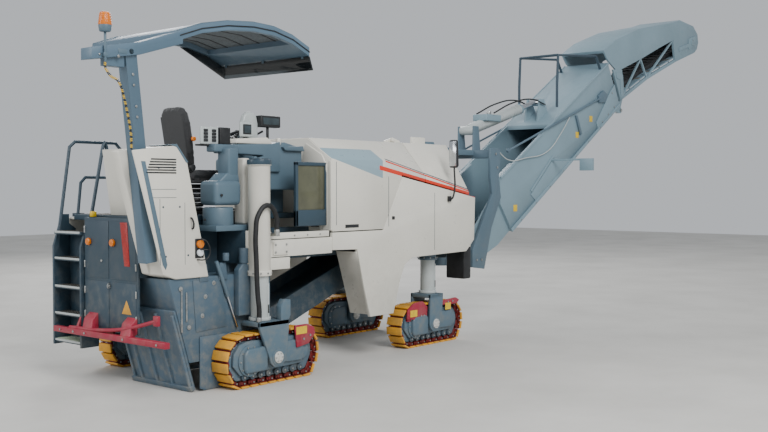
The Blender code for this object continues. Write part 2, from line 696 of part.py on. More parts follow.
def ladder():
    """The steps at the left rear corner, with the grab rails that stand on their cheeks."""
    cheeks = []
    for y in (0.44, 0.95):
        outline = [(LADDER_BACK, 0.36), (-1.10, 0.36), (-1.04, 1.10), (-1.04, 1.60), (-1.12 - REST_GAP, 1.66),
                   (-1.12 - REST_GAP, DECK_Z), (-1.20, DECK_Z), (LADDER_BACK, 1.42)]
        cheeks.append(prism(outline, y, y + 0.03))
    steps = [box((LADDER_BACK + 0.01, -1.11), (0.46, 0.96), (z, z + 0.03))
             for z in (0.39, 0.68, 0.97, 1.27, 1.55)]
    y = 0.455
    inner = pipe([(-1.24, y, 1.40), (-1.02, y, 2.49), (-1.0, y, 2.53), (-0.98, y, 2.49), (-0.85, y, 1.86),
                  (-0.85, y, DECK_Z + SLIDE_GAP)], 0.019)
    y = 0.965
    outer = pipe([(-0.45, y, DECK_Z - 0.035 + SLIDE_GAP), (-0.45, y, 2.49), (-0.51, y, 2.55),
                  (-1.03, y, 2.55), (-1.10, y, 2.49), (-1.24, y, 1.55), (-1.25, y, 1.40)], 0.019)
    node("ladder", "slate", [cheeks[0], *steps, cheeks[1], inner, outer])


def handrails():
    """The lower rail along the platform's left side, inside the ladder's own."""
    y = 0.909
    rail = [(-0.50, y, DECK_Z - 0.02), (-0.50, y, 2.10), (-0.56, y, 2.16), (-0.94, y, 2.16), (-1.00, y, 2.10),
            (-1.04, y, DECK_Z - 0.02)]
    feet = [box((x - 0.05, x + 0.05), (0.86 + REST_GAP, y + 0.036), (DECK_Z - 0.032, DECK_Z + 0.01))
            for x in (-0.505, -1.035)]
    node("handrails", "slate", [pipe(rail, 0.019, 1), *feet])


def side_fender_left():
    top = box((-1.10, -0.26), (0.86 + REST_GAP, 1.02), (DECK_Z - 0.06, DECK_Z - 0.035))
    wall = prism([(-1.30, 1.20), (-0.26, 1.20), (-0.26, DECK_Z - 0.035), (-1.13, DECK_Z - 0.035)],
                 0.985, 1.02)
    node("side_fender_left", "shell_white", [wall, top])


def rear_bumper():
    """The red bar behind the machine, on brackets from the ladder and the cabinet."""
    back, front = -1.40, -1.34
    rail = box((back, front), (-1.08, 0.83), (BUMPER_Z - 0.03, BUMPER_Z + 0.03))
    wall = CABINET_BACK - REST_GAP
    cheek = LADDER_BACK - REST_GAP
    outline = [(-1.37, BUMPER_Z + 0.02), (-1.37, BUMPER_Z - 0.02), (cheek, BUMPER_Z), (cheek, 0.70)]
    parts = [rail, prism(outline, 0.44, 0.47)]
    outline = [(-1.37, BUMPER_Z - 0.02), (wall, 0.60), (wall, 0.76), (-1.35, 0.70), (-1.38, BUMPER_Z + 0.02)]
    for low, high in ((0.17, 0.33), (-0.49, -0.33)):
        parts.append(prism(outline, low, high))
    node("rear_bumper", "guard_red", parts)


def hydraulic_tower():
    """The rounded consoles that stand between the rear cover and the column."""
    base = box((-0.58, 0.05), (-0.86, -0.52), (FRAME_TOP + REST_GAP, FRAME_TOP + 0.06))
    drum = bar((-0.40, -0.70, FRAME_TOP + 0.04), (-0.40, -0.70, 1.95), 0.15)
    upper = box((-0.46, -0.16), (-0.84, -0.58), (1.93, 2.16))
    neck = box((-0.36, -0.22), (-0.80, -0.62), (2.10, 2.36))
    node("hydraulic_tower", "steel_blue", [base, drum, upper, neck])


def side_window():
    frame = box((0.50, HOOD_BACK + 0.02 - REST_GAP), (-0.92, -0.88), (1.62, 2.33))
    node("side_window", "slate", [frame])


def control_console():
    """The desk in front of the seat, its long right arm, the displays and the steering column."""
    desk = prism([(0.34, 2.02), (0.90, 2.02), (0.90, 2.50), (0.62, 2.56), (0.34, 2.36)], -0.62, 0.24)
    arm = box((-0.30, 0.40), (-0.66, -0.48), (2.40, 2.52))
    tie = box((0.30, 0.50), (-0.66, -0.40), (2.20, 2.52))
    pedestal = box((0.52, 0.82), (-0.40, 0.10), (DECK_Z + REST_GAP, 2.04))
    display = box((0.56, 0.62), (-0.52, -0.30), (2.50, 2.78))
    gauge = box((0.60, 0.66), (0.00, 0.20), (2.50, 2.72))
    stalk = bar(STEER_FOOT, STEER_HUB, 0.035, 12)
    node("control_console", "steel_blue", [desk, tie, arm, pedestal, display, gauge, stalk])


def steering_wheel():
    lean = (Vector(STEER_HUB) - Vector(STEER_FOOT)).normalized()
    centre = Vector(STEER_HUB) + lean * 0.035
    side = Vector((0, 1, 0))
    front = side.cross(lean)
    rim_points = []
    for step in range(20):
        turn = 2 * pi * step / 20
        rim_points.append(centre + side * (0.17 * cos(turn)) + front * (0.17 * sin(turn)))
    rim = pipe(rim_points, 0.016, 1, cyclic=True)
    hub = bar(Vector(STEER_HUB) + lean * REST_GAP, centre + lean * 0.01, 0.045, 12)
    spokes = []
    for turn in (pi / 2, pi * 7 / 6, pi * 11 / 6):
        spokes.append(bar(centre, centre + side * (0.17 * cos(turn)) + front * (0.17 * sin(turn)), 0.011, 8))
    wheel = node("steering_wheel", "black_plastic", [hub, *spokes, rim])
    hang("steering_axis", STEER_HUB, [wheel])


def seat():
    """The driver's seat on its turning pedestal."""
    y = -0.17
    foot = bar((-0.28, y, DECK_Z + REST_GAP), (-0.28, y, 2.12), 0.10)
    cushion = box((-0.52, 0.0), (y - 0.25, y + 0.25), (2.10, 2.24))
    back = prism([(-0.50, 2.20), (-0.40, 2.20), (-0.52, 2.93), (-0.62, 2.93)], y - 0.25, y + 0.25)
    made = node("seat", "black_plastic", [foot, cushion, back])
    hang("seat_axis", (-0.28, y, DECK_Z), [made])


def small_fittings():
    tank = box((3.78 + REST_GAP, 3.95), (-0.84, -0.52), (0.80, 1.30))
    node("front_tank", "black_plastic", [tank])
    foot = box((3.17, 3.23), (-1.04, -BODY_HALF - REST_GAP), (1.86, 1.94))
    arm = bar((3.20, -1.03, 1.88), (3.20, -1.09, 2.40), 0.014, 8)
    glass = box((3.17, 3.23), (-1.15, -1.02), (2.30, 2.66))
    node("mirror", "black_plastic", [glass, arm, foot])


# ---------------------------------------------------------------- canopy


def canopy():
    """The roof on its one leaning post, with the smoked screen and the flashing lamp."""
    post = beam(POST_FOOT, POST_TOP, POST_WIDTH, POST_WIDTH)
    arm = loft([
        [(x, y, z) for y, z in ((-0.80, low), (-0.80, high), (-0.62, high), (-0.62, low))]
        for x, low, high in ((-1.98, 3.22, 3.33), (-1.45, 3.31, 3.43), (-0.94, 3.47, 3.60))
    ])
    stations = ((-0.98, 3.60), (-0.70, 3.70), (-0.36, 3.77), (0.0, 3.80), (0.30, 3.79), (0.58, 3.73),
                (0.84, 3.62))
    under, over = [], []
    for x, z in stations:
        over.append([(x, y, z) for y in (-0.80, 0.70)])
        under.append([(x, y, z - 0.10) for y in (-0.80, 0.70)])
    rings = [(o[0], o[1], u[1], u[0]) for o, u in zip(over, under)]
    roof = loft(rings)
    hollow_rings = []
    for x, z in stations[1:-1]:
        section = ((-0.74, z - 0.03), (0.64, z - 0.03), (0.64, z - 0.2), (-0.74, z - 0.2))
        hollow_rings.append([(x, y, h) for y, h in section])
    hollow = loft(hollow_rings)
    shackle = box((-1.80, -1.60), (-0.76, -0.66), (3.18, 3.34))
    frame = node("canopy_frame", "steel_blue", [roof, arm, post, shackle], [hollow])
    front = prism([(0.825, 3.52 - REST_GAP), (0.845, 3.52 - REST_GAP), (0.90, 3.37), (0.88, 3.37)],
                  -0.80, 0.70)
    side = prism(
        [(0.20, 3.69 - REST_GAP), (0.30, 3.69 - REST_GAP), (0.58, 3.63 - REST_GAP), (0.84, 3.52 - REST_GAP),
         (0.89, 3.37)], 0.68, 0.70)
    visor = node("canopy_visor", "smoked_glass", [front, side])
    stalk = bar((-1.86, -0.80 - 0.03, 3.20), (-1.86, -0.80 - 0.03, 3.50), 0.012, 8)
    clamp = box((-1.88, -1.84), (-0.83, -0.80 - REST_GAP), (3.25, 3.29))
    base = bar((-1.86, -0.83, 3.48), (-1.86, -0.83, 3.54), 0.06, 16)
    lamp = bar((-1.86, -0.83, 3.53), (-1.86, -0.83, 3.66), 0.065, 16, 0.045)
    beacon = node("beacon", "lamp_orange", [stalk, clamp, base, lamp])
    hang("canopy_axis", POST_FOOT, [frame, visor, beacon])


def flexible_lines():
    """The coiled lead of the flashing lamp and the hose down to the right rear leg."""
    lead = [(-1.86, -0.83, 3.20 - SLIDE_GAP), (-1.86, -0.83, 3.15), (-1.78, -0.80, 3.08),
            (-1.70, -0.80, 3.04), (-1.64, -0.80, 2.90), (-1.57, -0.80, 2.60), (-1.56, -0.80, 2.4065)]
    node("beacon_cable", "cable_yellow", [pipe(smooth_points(lead, 0.04), 0.014)])
    hose = [(0.02, -1.12, 1.60), (-0.10, -1.13, 1.58), (-0.20, -1.12, 1.45), (-0.26, -1.10, 1.15),
            (-0.25, -1.10, 0.90), (-0.22, -1.10, 0.80), (-0.22, -1.10, YOKE_TOP_Z + SLIDE_GAP)]
    node("column_hose", "black_rubber", [pipe(smooth_points(hose, 0.05), 0.016)])


# ---------------------------------------------------------------- discharge conveyor


def slew_bracket():
    """The turning frame between the machine and the conveyor, with its two bowed side arms."""
    arms = []
    inner, outer = CONVEYOR_HALF + MOVE_GAP, CONVEYOR_HALF + MOVE_GAP + ARM_WALL
    outline = [(4.50, 0.90), (4.80, 0.86), (4.98, 1.45), (5.23, 1.90), (5.17, 2.17), (5.20, 2.40),
               (5.20, 2.62), (4.95, 2.62), (4.95, 2.20), (5.00, 1.95), (4.72, 1.50), (4.50, 1.15)]
    for side in (1, -1):
        arms.append(prism(outline, *mirrored((inner, outer), side)))
    top = box((4.96, 5.18), (-outer + 0.01, outer - 0.01), (2.48, 2.60))
    top_neck = box((SLEW_X - 0.05, 5.0), (-0.16, 0.16), (2.52, 2.60))
    top_hub = bar((SLEW_X, 0, 2.46 + SLIDE_GAP), (SLEW_X, 0, 2.62), 0.15)
    low_hub = bar((SLEW_X, 0, 0.92), (SLEW_X, 0, 1.10 - SLIDE_GAP), 0.14)
    low_neck = box((SLEW_X - 0.05, 4.60), (-0.14, 0.14), (0.92, 1.02))
    low_bar = box((4.51, 4.60), (-outer + 0.01, outer - 0.01), (0.92, 1.02))
    tower = []
    for side in (1, -1):
        tower.append(prism([(4.98, 2.58), (5.16, 2.58), (RAM_BASE[0] + 0.06, RAM_BASE[1] + 0.06),
                            (RAM_BASE[0] - 0.06, RAM_BASE[1] + 0.06)], *mirrored((0.12, 0.15), side)))
    bracket = node("slew_bracket", "steel_blue",
                   [low_bar, low_neck, low_hub, *arms, top, top_neck, top_hub, *tower])
    return bracket


def lower_conveyor():
    """The lower half of the discharge conveyor: a deep trough with a plated bottom."""
    side_outline = [(5.62, 1.38), (9.10, 3.50), (8.66, 2.20 + 3.38 * TOP_SLOPE), (5.28, 2.20), (5.29, 1.80)]
    tail_outline = [(4.62, 1.06), (4.72, 0.96), (5.29, 1.18), (5.64, 1.40), (5.60, 2.30), (5.32, 2.10),
                    (4.64, 1.40)]
    side = prism(side_outline, -CONVEYOR_HALF, CONVEYOR_HALF)
    tail = prism(tail_outline, -CONVEYOR_HALF + 0.05, CONVEYOR_HALF - 0.05)
    roof_start = (6.72, 2.20 + 1.44 * TOP_SLOPE - ROOF_DEPTH)
    hollow_outline = [*TROUGH_FLOOR, (9.40, 2.20 + 4.12 * TOP_SLOPE - ROOF_DEPTH), roof_start, (6.68, 3.30),
                      (5.1, 2.35), (4.72, 1.5), (4.72, TROUGH_FLOOR[0][1])]
    hollow = prism(hollow_outline, -CONVEYOR_HALF + 0.05 + PLATE, CONVEYOR_HALF - 0.05 - PLATE)
    wide_outline = [*TROUGH_FLOOR[1:], hollow_outline[3], roof_start, (6.68, 3.30), (5.64, 2.68)]
    wide = prism(wide_outline, -CONVEYOR_HALF + PLATE, CONVEYOR_HALF - PLATE)
    bosses = [bar((LIFT_PIN[0] + 0.04, s * 0.36, LIFT_PIN[1] + 0.04),
                  (LIFT_PIN[0] + 0.04, s * (CONVEYOR_HALF + MOVE_GAP - REST_GAP), LIFT_PIN[1] + 0.04), 0.06)
              for s in (1, -1)]
    lugs = []
    for s in (1, -1):
        lugs.append(prism([(6.80, 3.04), (7.15, 3.24), (RAM_EYE[0] + 0.06, RAM_EYE[1] + 0.05),
                           (RAM_EYE[0] - 0.06, RAM_EYE[1] + 0.05)], *mirrored((0.10, 0.13), s)))
        lugs.append(prism([(8.92, 3.40), (9.10, 3.37), (9.18, 3.37), (9.21, 3.42), (9.18, 3.47),
                           (9.07, 3.54)], *mirrored((0.37, 0.415), s)))
    panels = []
    for s in (1, -1):
        panels.append(box((6.76, 6.79), mirrored((CONVEYOR_HALF - 0.01, 1.16), s), (2.47, 2.50)))
        panels.append(box((6.74, 6.80), mirrored((0.94, 1.16), s), (2.31, 2.50)))
    return node("lower_conveyor", "conveyor_blue",
                [side, tail, *bosses, *lugs, *panels], [hollow, wide])


def raised(points, rise):
    """The same XZ points, higher by a rise."""
    return [(x, z + rise) for x, z in points]


def slope(first, last):
    return (last[1] - first[1]) / (last[0] - first[0])


def upper_conveyor():
    """The folding outer half: lattice sides, a closed cover and the head with its drum."""
    low = OUTER_CHORD
    high = [(9.02, 4.12), (9.98, 4.42), (11.37, 4.91), (12.20, 5.20)]
    parts = []
    for s in (1, -1):
        y = s * (CONVEYOR_HALF - 0.03)
        parts.append(prism([(9.16, 3.60), (9.30, 3.70), (9.20, 4.15), (8.86, 4.12)],
                           *mirrored((CONVEYOR_HALF - 0.05, CONVEYOR_HALF), s)))
        for a, b in zip(low, low[1:]):
            parts.append(beam((a[0], y, a[1]), (b[0], y, b[1]), 0.05, 0.05))
        for a, b in ((low[0], high[1]), (high[1], low[1]), (low[1], high[2]), (high[2], low[2])):
            parts.append(beam((a[0], y, a[1]), (b[0], y, b[1]), 0.03, 0.035))
        parts.append(prism([(11.36, 4.92), (11.46, 4.50), (12.36, 4.77), (12.50, 4.86), (12.56, 5.0),
                            (12.52, 5.16), (12.30, 5.30), (11.64, 5.34)],
                           *mirrored((CONVEYOR_HALF - 0.04, CONVEYOR_HALF), s)))
        parts.append(prism([(9.14, 3.37), (9.18, 3.37), (9.23, 3.42), (9.42, 3.84), (9.30, 3.84),
                            (9.11, 3.46), (9.11, 3.40)], *mirrored((0.33, 0.37 - SLIDE_GAP), s)))
    cover_outline = [(8.66, 4.25 + MOVE_GAP), (9.02, 4.10), (9.98, 4.42), (10.74, 4.70), (11.40, 4.93),
                     (11.64, 5.34), (11.27, 5.24), (9.89, 4.96), (8.98, 4.66), (8.50, 4.42)]
    cover = prism(cover_outline, -CONVEYOR_HALF, CONVEYOR_HALF)
    inner = prism([(8.4, 4.0), (8.7, 4.0), (9.98, 4.38), (11.45, 4.90), (11.9, 4.9), (11.62, 5.30),
                   (11.27, 5.19), (9.89, 4.91), (8.98, 4.61), (8.4, 4.30)],
                  -CONVEYOR_HALF + PLATE, CONVEYOR_HALF - PLATE)
    floor = prism(raised(low, 0.05) + raised(low, 0.07)[::-1], -CONVEYOR_HALF + 0.04, CONVEYOR_HALF - 0.04)
    return node("upper_conveyor", "conveyor_blue", [cover, floor, *parts], [inner])


def belts():
    """The belt's upper run in each half, lying on the half's floor."""
    floor = [TROUGH_FLOOR[0], TROUGH_FLOOR[1], (9.00, TROUGH_FLOOR[2][1] - 0.40 * slope(*TROUGH_FLOOR[1:]))]
    low = prism(raised(floor, 2 * REST_GAP) + raised(floor, 0.09)[::-1], -BELT_HALF, BELT_HALF)
    first = (9.34, 3.66 + 0.08 * slope(*OUTER_CHORD[:2]))
    last = (12.34, 4.82 - 0.08 * slope(*OUTER_CHORD[2:]))
    run = [first, *OUTER_CHORD[1:-1], last]
    high = prism(raised(run, 0.07 + 2 * REST_GAP) + raised(run, 0.15)[::-1], -BELT_HALF, BELT_HALF)
    return node("lower_belt", "black_rubber", [low]), node("upper_belt", "black_rubber", [high])


def lift_ram():
    """The ram that holds the conveyor up: barrel on the turning frame, rod on the trough."""
    base, eye = Vector((RAM_BASE[0], 0, RAM_BASE[1])), Vector((RAM_EYE[0], 0, RAM_EYE[1]))
    along = (eye - base).normalized()
    length = (eye - base).length
    tube = bar(base + along * 0.04, base + along * 1.45, 0.085)
    bore = bar(base + along * 0.28, base + along * 1.6, 0.0458)
    boss = bar(base - Vector((0, 0.12 - REST_GAP, 0)), base + Vector((0, 0.12 - REST_GAP, 0)), 0.07)
    barrel = node("lift_ram_barrel", "shell_white", [boss, tube], [bore])
    shaft = bar(base + along * 0.48, eye - along * 0.04, 0.045)
    eye_boss = bar(eye - Vector((0, 0.09, 0)), eye + Vector((0, 0.09, 0)), 0.06)
    rod = node("lift_ram_rod", "rod_chrome", [eye_boss, shaft])
    return barrel, rod


def conveyor():
    bracket = slew_bracket()
    lower, upper = lower_conveyor(), upper_conveyor()
    low_belt, high_belt = belts()
    barrel, rod = lift_ram()
    slew = hang("slew_axis", (SLEW_X, 0, 1.10), [bracket])
    ram = hang("ram_axis", (RAM_BASE[0], 0, RAM_BASE[1]), [barrel, rod])
    lift = hang("lift_axis", (LIFT_PIN[0] + 0.04, 0, LIFT_PIN[1] + 0.04), [lower, low_belt])
    fold = hang("fold_axis", (FOLD_PIN[0], 0, FOLD_PIN[1]), [upper, high_belt])
    for child, carrier in ((ram, slew), (lift, slew), (fold, lift)):
        bpy.context.view_layer.update()
        child.parent = carrier
        child.matrix_parent_inverse = carrier.matrix_world.inverted()


# ---------------------------------------------------------------- the whole machine


def centre_machine():
    """Hang everything from one empty, and set it down with its footprint's middle at the origin."""
    bpy.context.view_layer.update()
    graph = bpy.context.evaluated_depsgraph_get()
    corners = []
    for thing in bpy.context.scene.objects:
        if thing.type == "MESH" and not thing.hide_render:
            solid = thing.evaluated_get(graph)
            corners += [solid.matrix_world @ Vector(corner) for corner in solid.bound_box]
    low = Vector([min(c[k] for c in corners) for k in range(3)])
    high = Vector([max(c[k] for c in corners) for k in range(3)])
    whole = bpy.data.objects.new("machine", None)
    bpy.context.scene.collection.objects.link(whole)
    for thing in list(bpy.context.scene.objects):
        if thing.parent is None and thing is not whole:
            thing.parent = whole
    whole.location = (-(low.x + high.x) / 2, -(low.y + high.y) / 2, -low.z)
    bpy.context.view_layer.update()


def build_machine():
    clear_scene()
    main_frame()
    engine_block()
    engine_hood()
    front_cowl()
    rear_bulkhead()
    side_panel("side_panel_left", 1)
    side_panel("side_panel_right", -1)
    slew_mount()
    pickup_conveyor()
    drum_housing()
    milling_drum()
    edge_plates()
    for side, word in ((1, "left"), (-1, "right")):
        y = side * REAR_TRACK_Y
        column(f"rear_column_{word}", REAR_COLUMN_X, y, REAR_COLUMN_LOW, REAR_COLUMN_TOP, "shell_white")
        leg(f"rear_{word}", 0.0, y, REAR_COLUMN_X, False, (1, -1) if side > 0 else (-1,))
        y = side * FRONT_TRACK_Y
        column(f"front_column_{word}", FRONT_COLUMN_X, y, FRONT_COLUMN_LOW, FRONT_COLUMN_TOP, "steel_blue")
        leg(f"front_{word}", FRONT_TRACK_X, y, FRONT_COLUMN_X, True)
    platform_deck()
    rear_cover_right()
    rear_cabinet()
    ladder()
    handrails()
    side_fender_left()
    rear_bumper()
    hydraulic_tower()
    side_window()
    control_console()
    steering_wheel()
    seat()
    small_fittings()
    canopy()
    flexible_lines()
    conveyor()
    centre_machine()


build_machine()
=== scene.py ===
"""Cold planer milling machine: the pieces that are seen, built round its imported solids."""

import json
from math import atan2, cos, pi, radians, sin

import bpy
from mathutils import Matrix, Vector


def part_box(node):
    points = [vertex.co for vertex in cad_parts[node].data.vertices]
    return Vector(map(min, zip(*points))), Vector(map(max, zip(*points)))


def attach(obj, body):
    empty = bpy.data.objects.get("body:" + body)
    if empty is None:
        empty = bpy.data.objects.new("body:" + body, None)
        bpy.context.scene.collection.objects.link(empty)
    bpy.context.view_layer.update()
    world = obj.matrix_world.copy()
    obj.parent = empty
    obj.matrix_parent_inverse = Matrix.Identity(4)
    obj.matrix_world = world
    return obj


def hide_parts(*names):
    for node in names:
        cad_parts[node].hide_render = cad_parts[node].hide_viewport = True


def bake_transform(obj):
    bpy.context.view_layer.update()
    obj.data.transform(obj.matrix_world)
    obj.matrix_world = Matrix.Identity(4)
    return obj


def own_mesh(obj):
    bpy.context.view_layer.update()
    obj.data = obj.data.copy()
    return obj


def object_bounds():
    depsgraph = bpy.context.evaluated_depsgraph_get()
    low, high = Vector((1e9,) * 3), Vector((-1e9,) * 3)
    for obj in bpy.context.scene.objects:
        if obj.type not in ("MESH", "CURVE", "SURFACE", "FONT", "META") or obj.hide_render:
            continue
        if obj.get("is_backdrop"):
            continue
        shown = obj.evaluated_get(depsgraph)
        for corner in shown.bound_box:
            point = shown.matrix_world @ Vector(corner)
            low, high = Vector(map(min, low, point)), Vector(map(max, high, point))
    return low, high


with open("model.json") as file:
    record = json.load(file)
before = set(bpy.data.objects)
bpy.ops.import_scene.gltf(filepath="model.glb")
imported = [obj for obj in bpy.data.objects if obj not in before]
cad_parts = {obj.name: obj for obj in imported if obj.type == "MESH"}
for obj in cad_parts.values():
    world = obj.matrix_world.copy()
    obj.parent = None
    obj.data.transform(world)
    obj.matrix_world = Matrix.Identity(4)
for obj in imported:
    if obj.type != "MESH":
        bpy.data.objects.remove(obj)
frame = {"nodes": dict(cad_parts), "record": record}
solid_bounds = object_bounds()
bpy.ops.object.select_all(action="DESELECT")

# ------------------------------------------------------------------ where things are
# Lengths are given from the middle of the rear tracks, as a fitter would take them, and
# placed() turns them into the machine's own frame.
rear_low, rear_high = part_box("rear_right_track")
AXLE_X = (rear_low.x + rear_high.x) / 2
BODY_OF = {node: body for body, names in frame["record"]["behaviour"]["bodies"].items() for node in names}


def placed(x, y, z):
    return Vector((AXLE_X + x, y, z))


# ------------------------------------------------------------------ camera
# A standing person's eye to the right of the machine's rear corner.
EYE = placed(-7.22, -8.68, 2.06)
HEADING = radians(40.1)
DIP = radians(-1.7)
sight = Vector((cos(HEADING) * cos(DIP), sin(HEADING) * cos(DIP), sin(DIP)))
camera_data = bpy.data.cameras.new("camera")
camera_data.lens = 46.68
camera_data.sensor_width = 36.0
camera_data.clip_end = 200.0
camera = bpy.data.objects.new("camera", camera_data)
camera.location = EYE
camera.rotation_euler = sight.to_track_quat("-Z", "Y").to_euler()
bpy.context.scene.collection.objects.link(camera)
bpy.context.scene.camera = camera

# ------------------------------------------------------------------ paints
# Enamel sprayed on primed steel: fine orange peel, road dust that gathers low down, and a few
# scuffs where the coat has rubbed dull.
ROAD_DUST = "#8f8778"


def linear(code):
    """An sRGB hex value as linear light."""
    parts = [int(code[k:k + 2], 16) / 255 for k in (1, 3, 5)]
    return (*[c / 12.92 if c <= 0.04045 else ((c + 0.055) / 1.055) ** 2.4 for c in parts], 1.0)


def add_node(tree, kind, settings=(), links=()):
    """A shader node with its settings, and with sockets or values put into its inputs."""
    made = tree.nodes.new(kind)
    for name, value in dict(settings).items():
        setattr(made, name, value)
    for name, value in dict(links).items():
        if isinstance(value, bpy.types.NodeSocket):
            tree.links.new(value, made.inputs[name])
        else:
            made.inputs[name].default_value = value
    return made


def blank_material(name):
    """An empty Principled material: its tree, its shader and its Object coordinates."""
    material = bpy.data.materials.new(name)
    material.use_nodes = True
    tree = material.node_tree
    where = add_node(tree, "ShaderNodeTexCoord").outputs["Object"]
    return material, tree, tree.nodes["Principled BSDF"], where


def mixed(tree, share, first, second):
    """A colour between two, by a share."""
    made = add_node(tree, "ShaderNodeMix", {"data_type": "RGBA"}, {0: share, 6: first, 7: second})
    return made.outputs[2]


def stepped(tree, value, low, high, first=0.0, second=1.0):
    """A value mapped from one range to another and kept inside it."""
    made = add_node(tree, "ShaderNodeMapRange", {}, {
        "Value": value, "From Min": low, "From Max": high, "To Min": first, "To Max": second})
    return made.outputs["Result"]


def enamel(name, coat, rough=0.38, dusty=0.35, peel=0.02, artwork=None):
    """Sprayed enamel in one colour; artwork may paint further colours over it."""
    material, tree, shader, where = blank_material(name)
    broad = add_node(tree, "ShaderNodeTexNoise", {}, {"Vector": where, "Scale": 1.3, "Detail": 5.0})
    grime = add_node(tree, "ShaderNodeTexNoise", {},
                     {"Vector": where, "Scale": 9.0, "Detail": 8.0, "Roughness": 0.65})
    split = add_node(tree, "ShaderNodeSeparateXYZ", {}, {"Vector": where})
    low_down = stepped(tree, split.outputs["Z"], 1.7, 0.1)
    patches = stepped(tree, grime.outputs["Fac"], 0.45, 0.72)
    settled = add_node(tree, "ShaderNodeMath", {"operation": "MULTIPLY"}, {0: low_down, 1: patches})
    share = add_node(tree, "ShaderNodeMath", {"operation": "MULTIPLY"}, {0: settled.outputs[0], 1: dusty})
    tint = tuple(c * 0.90 for c in linear(coat)[:3]) + (1.0,)
    colour = mixed(tree, stepped(tree, broad.outputs["Fac"], 0.35, 0.65), linear(coat), tint)
    if artwork:
        colour = artwork(tree, where, split, colour)
    colour = mixed(tree, share.outputs[0], colour, linear(ROAD_DUST))
    tree.links.new(colour, shader.inputs["Base Color"])
    tree.links.new(stepped(tree, grime.outputs["Fac"], 0.3, 0.8, rough - 0.06, rough + 0.16),
                   shader.inputs["Roughness"])
    # Real orange peel is about 2 mm across, too fine to show from here, so it is drawn at 12 mm.
    skin = add_node(tree, "ShaderNodeTexNoise", {}, {"Vector": where, "Scale": 80.0, "Detail": 2.0})
    bump = add_node(tree, "ShaderNodeBump", {},
                    {"Strength": peel * 5, "Distance": 0.002, "Height": skin.outputs["Fac"]})
    tree.links.new(bump.outputs["Normal"], shader.inputs["Normal"])
    shader.inputs["IOR"].default_value = 1.5
    return material


WHITE_COAT = "#dedbd0"
FRAME_COAT = "#566c7a"
CONVEYOR_COAT = "#7f98a4"
SLATE_COAT = "#2f4350"
RED_COAT = "#9c1f38"
cream_enamel = enamel("cream_white_enamel", WHITE_COAT, 0.34, 0.30)
steel_enamel = enamel("blue_grey_enamel", FRAME_COAT, 0.42, 0.45)
conveyor_enamel = enamel("pale_blue_grey_enamel", CONVEYOR_COAT, 0.42, 0.2)
slate_enamel = enamel("dark_slate_enamel", SLATE_COAT, 0.45, 0.45)
red_enamel = enamel("guard_red_enamel", RED_COAT, 0.38, 0.35)


def plain_surface(name, colour, worn, rough, scale, metallic=0.0, bump=0.3):
    """A moulded, cast or rubbed surface: two close tones in patches, with a fine relief."""
    material, tree, shader, where = blank_material(name)
    cloud = add_node(tree, "ShaderNodeTexNoise", {},
                     {"Vector": where, "Scale": scale, "Detail": 6.0, "Roughness": 0.6})
    tone = mixed(tree, stepped(tree, cloud.outputs["Fac"], 0.38, 0.68), linear(colour), linear(worn))
    tree.links.new(tone, shader.inputs["Base Color"])
    tree.links.new(stepped(tree, cloud.outputs["Fac"], 0.3, 0.7, rough - 0.08, rough + 0.1),
                   shader.inputs["Roughness"])
    fine = add_node(tree, "ShaderNodeTexNoise", {}, {"Vector": where, "Scale": scale * 9, "Detail": 3.0})
    relief = add_node(tree, "ShaderNodeBump", {},
                      {"Strength": bump, "Distance": 0.002, "Height": fine.outputs["Fac"]})
    tree.links.new(relief.outputs["Normal"], shader.inputs["Normal"])
    shader.inputs["Metallic"].default_value = metallic
    return material


belt_rubber = plain_surface("conveyor_belt_rubber", "#1c1d1e", "#37373a", 0.75, 6.0)
hose_rubber = plain_surface("hose_rubber", "#121314", "#242527", 0.6, 20.0)
moulded_black = plain_surface("moulded_black_abs", "#17181a", "#26282a", 0.5, 14.0)
cast_iron = plain_surface("cast_iron", "#46474a", "#5b5a58", 0.6, 11.0, 0.4, 0.5)
worn_steel = plain_surface("worn_tool_steel", "#6f6a62", "#8d8a85", 0.45, 16.0, 0.8, 0.4)
hard_chrome = plain_surface("hard_chrome_rod", "#c9ccd0", "#b4b8bd", 0.14, 5.0, 1.0, 0.05)


# ------------------------------------------------------------------ kept solids, edges broken
# Steel plate and pressings have a broken or folded edge, never a knife edge, so a copy of the
# solid is welded, its flat faces are made whole, and its edges are rounded.
WELD = 0.0001
FLAT, EDGE, CREASE = radians(1.0), radians(32), radians(34)
SLOT_OF = {row["node"]: row["material_slot"] for row in frame["record"]["subparts"]}


def rounded(node, width, paint, slot=None):
    """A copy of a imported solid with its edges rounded, standing for that solid."""
    original = frame["nodes"][node]
    piece = original.copy()
    piece.data = original.data.copy()
    piece.name = node + "_shown"
    for key in list(piece.keys()):
        del piece[key]
    bpy.context.scene.collection.objects.link(piece)
    piece.hide_render = False
    bpy.ops.object.select_all(action="DESELECT")
    bpy.context.view_layer.objects.active = piece
    piece.select_set(True)
    bpy.ops.object.mode_set(mode="EDIT")
    bpy.ops.mesh.select_all(action="SELECT")
    bpy.ops.mesh.remove_doubles(threshold=WELD)
    bpy.ops.mesh.dissolve_limited(angle_limit=FLAT)
    bpy.ops.object.mode_set(mode="OBJECT")
    if width:
        edge = piece.modifiers.new("edge", "BEVEL")
        edge.width = width
        edge.segments = 2
        edge.limit_method = "ANGLE"
        edge.angle_limit = EDGE
        bpy.ops.object.modifier_apply(modifier="edge")
    bpy.ops.object.shade_smooth_by_angle(angle=CREASE)
    bpy.ops.object.select_all(action="DESELECT")
    piece.data.materials.clear()
    piece.data.materials.append(paint)
    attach(piece, BODY_OF[node])
    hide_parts(node)
    slot or SLOT_OF[node]
    return piece


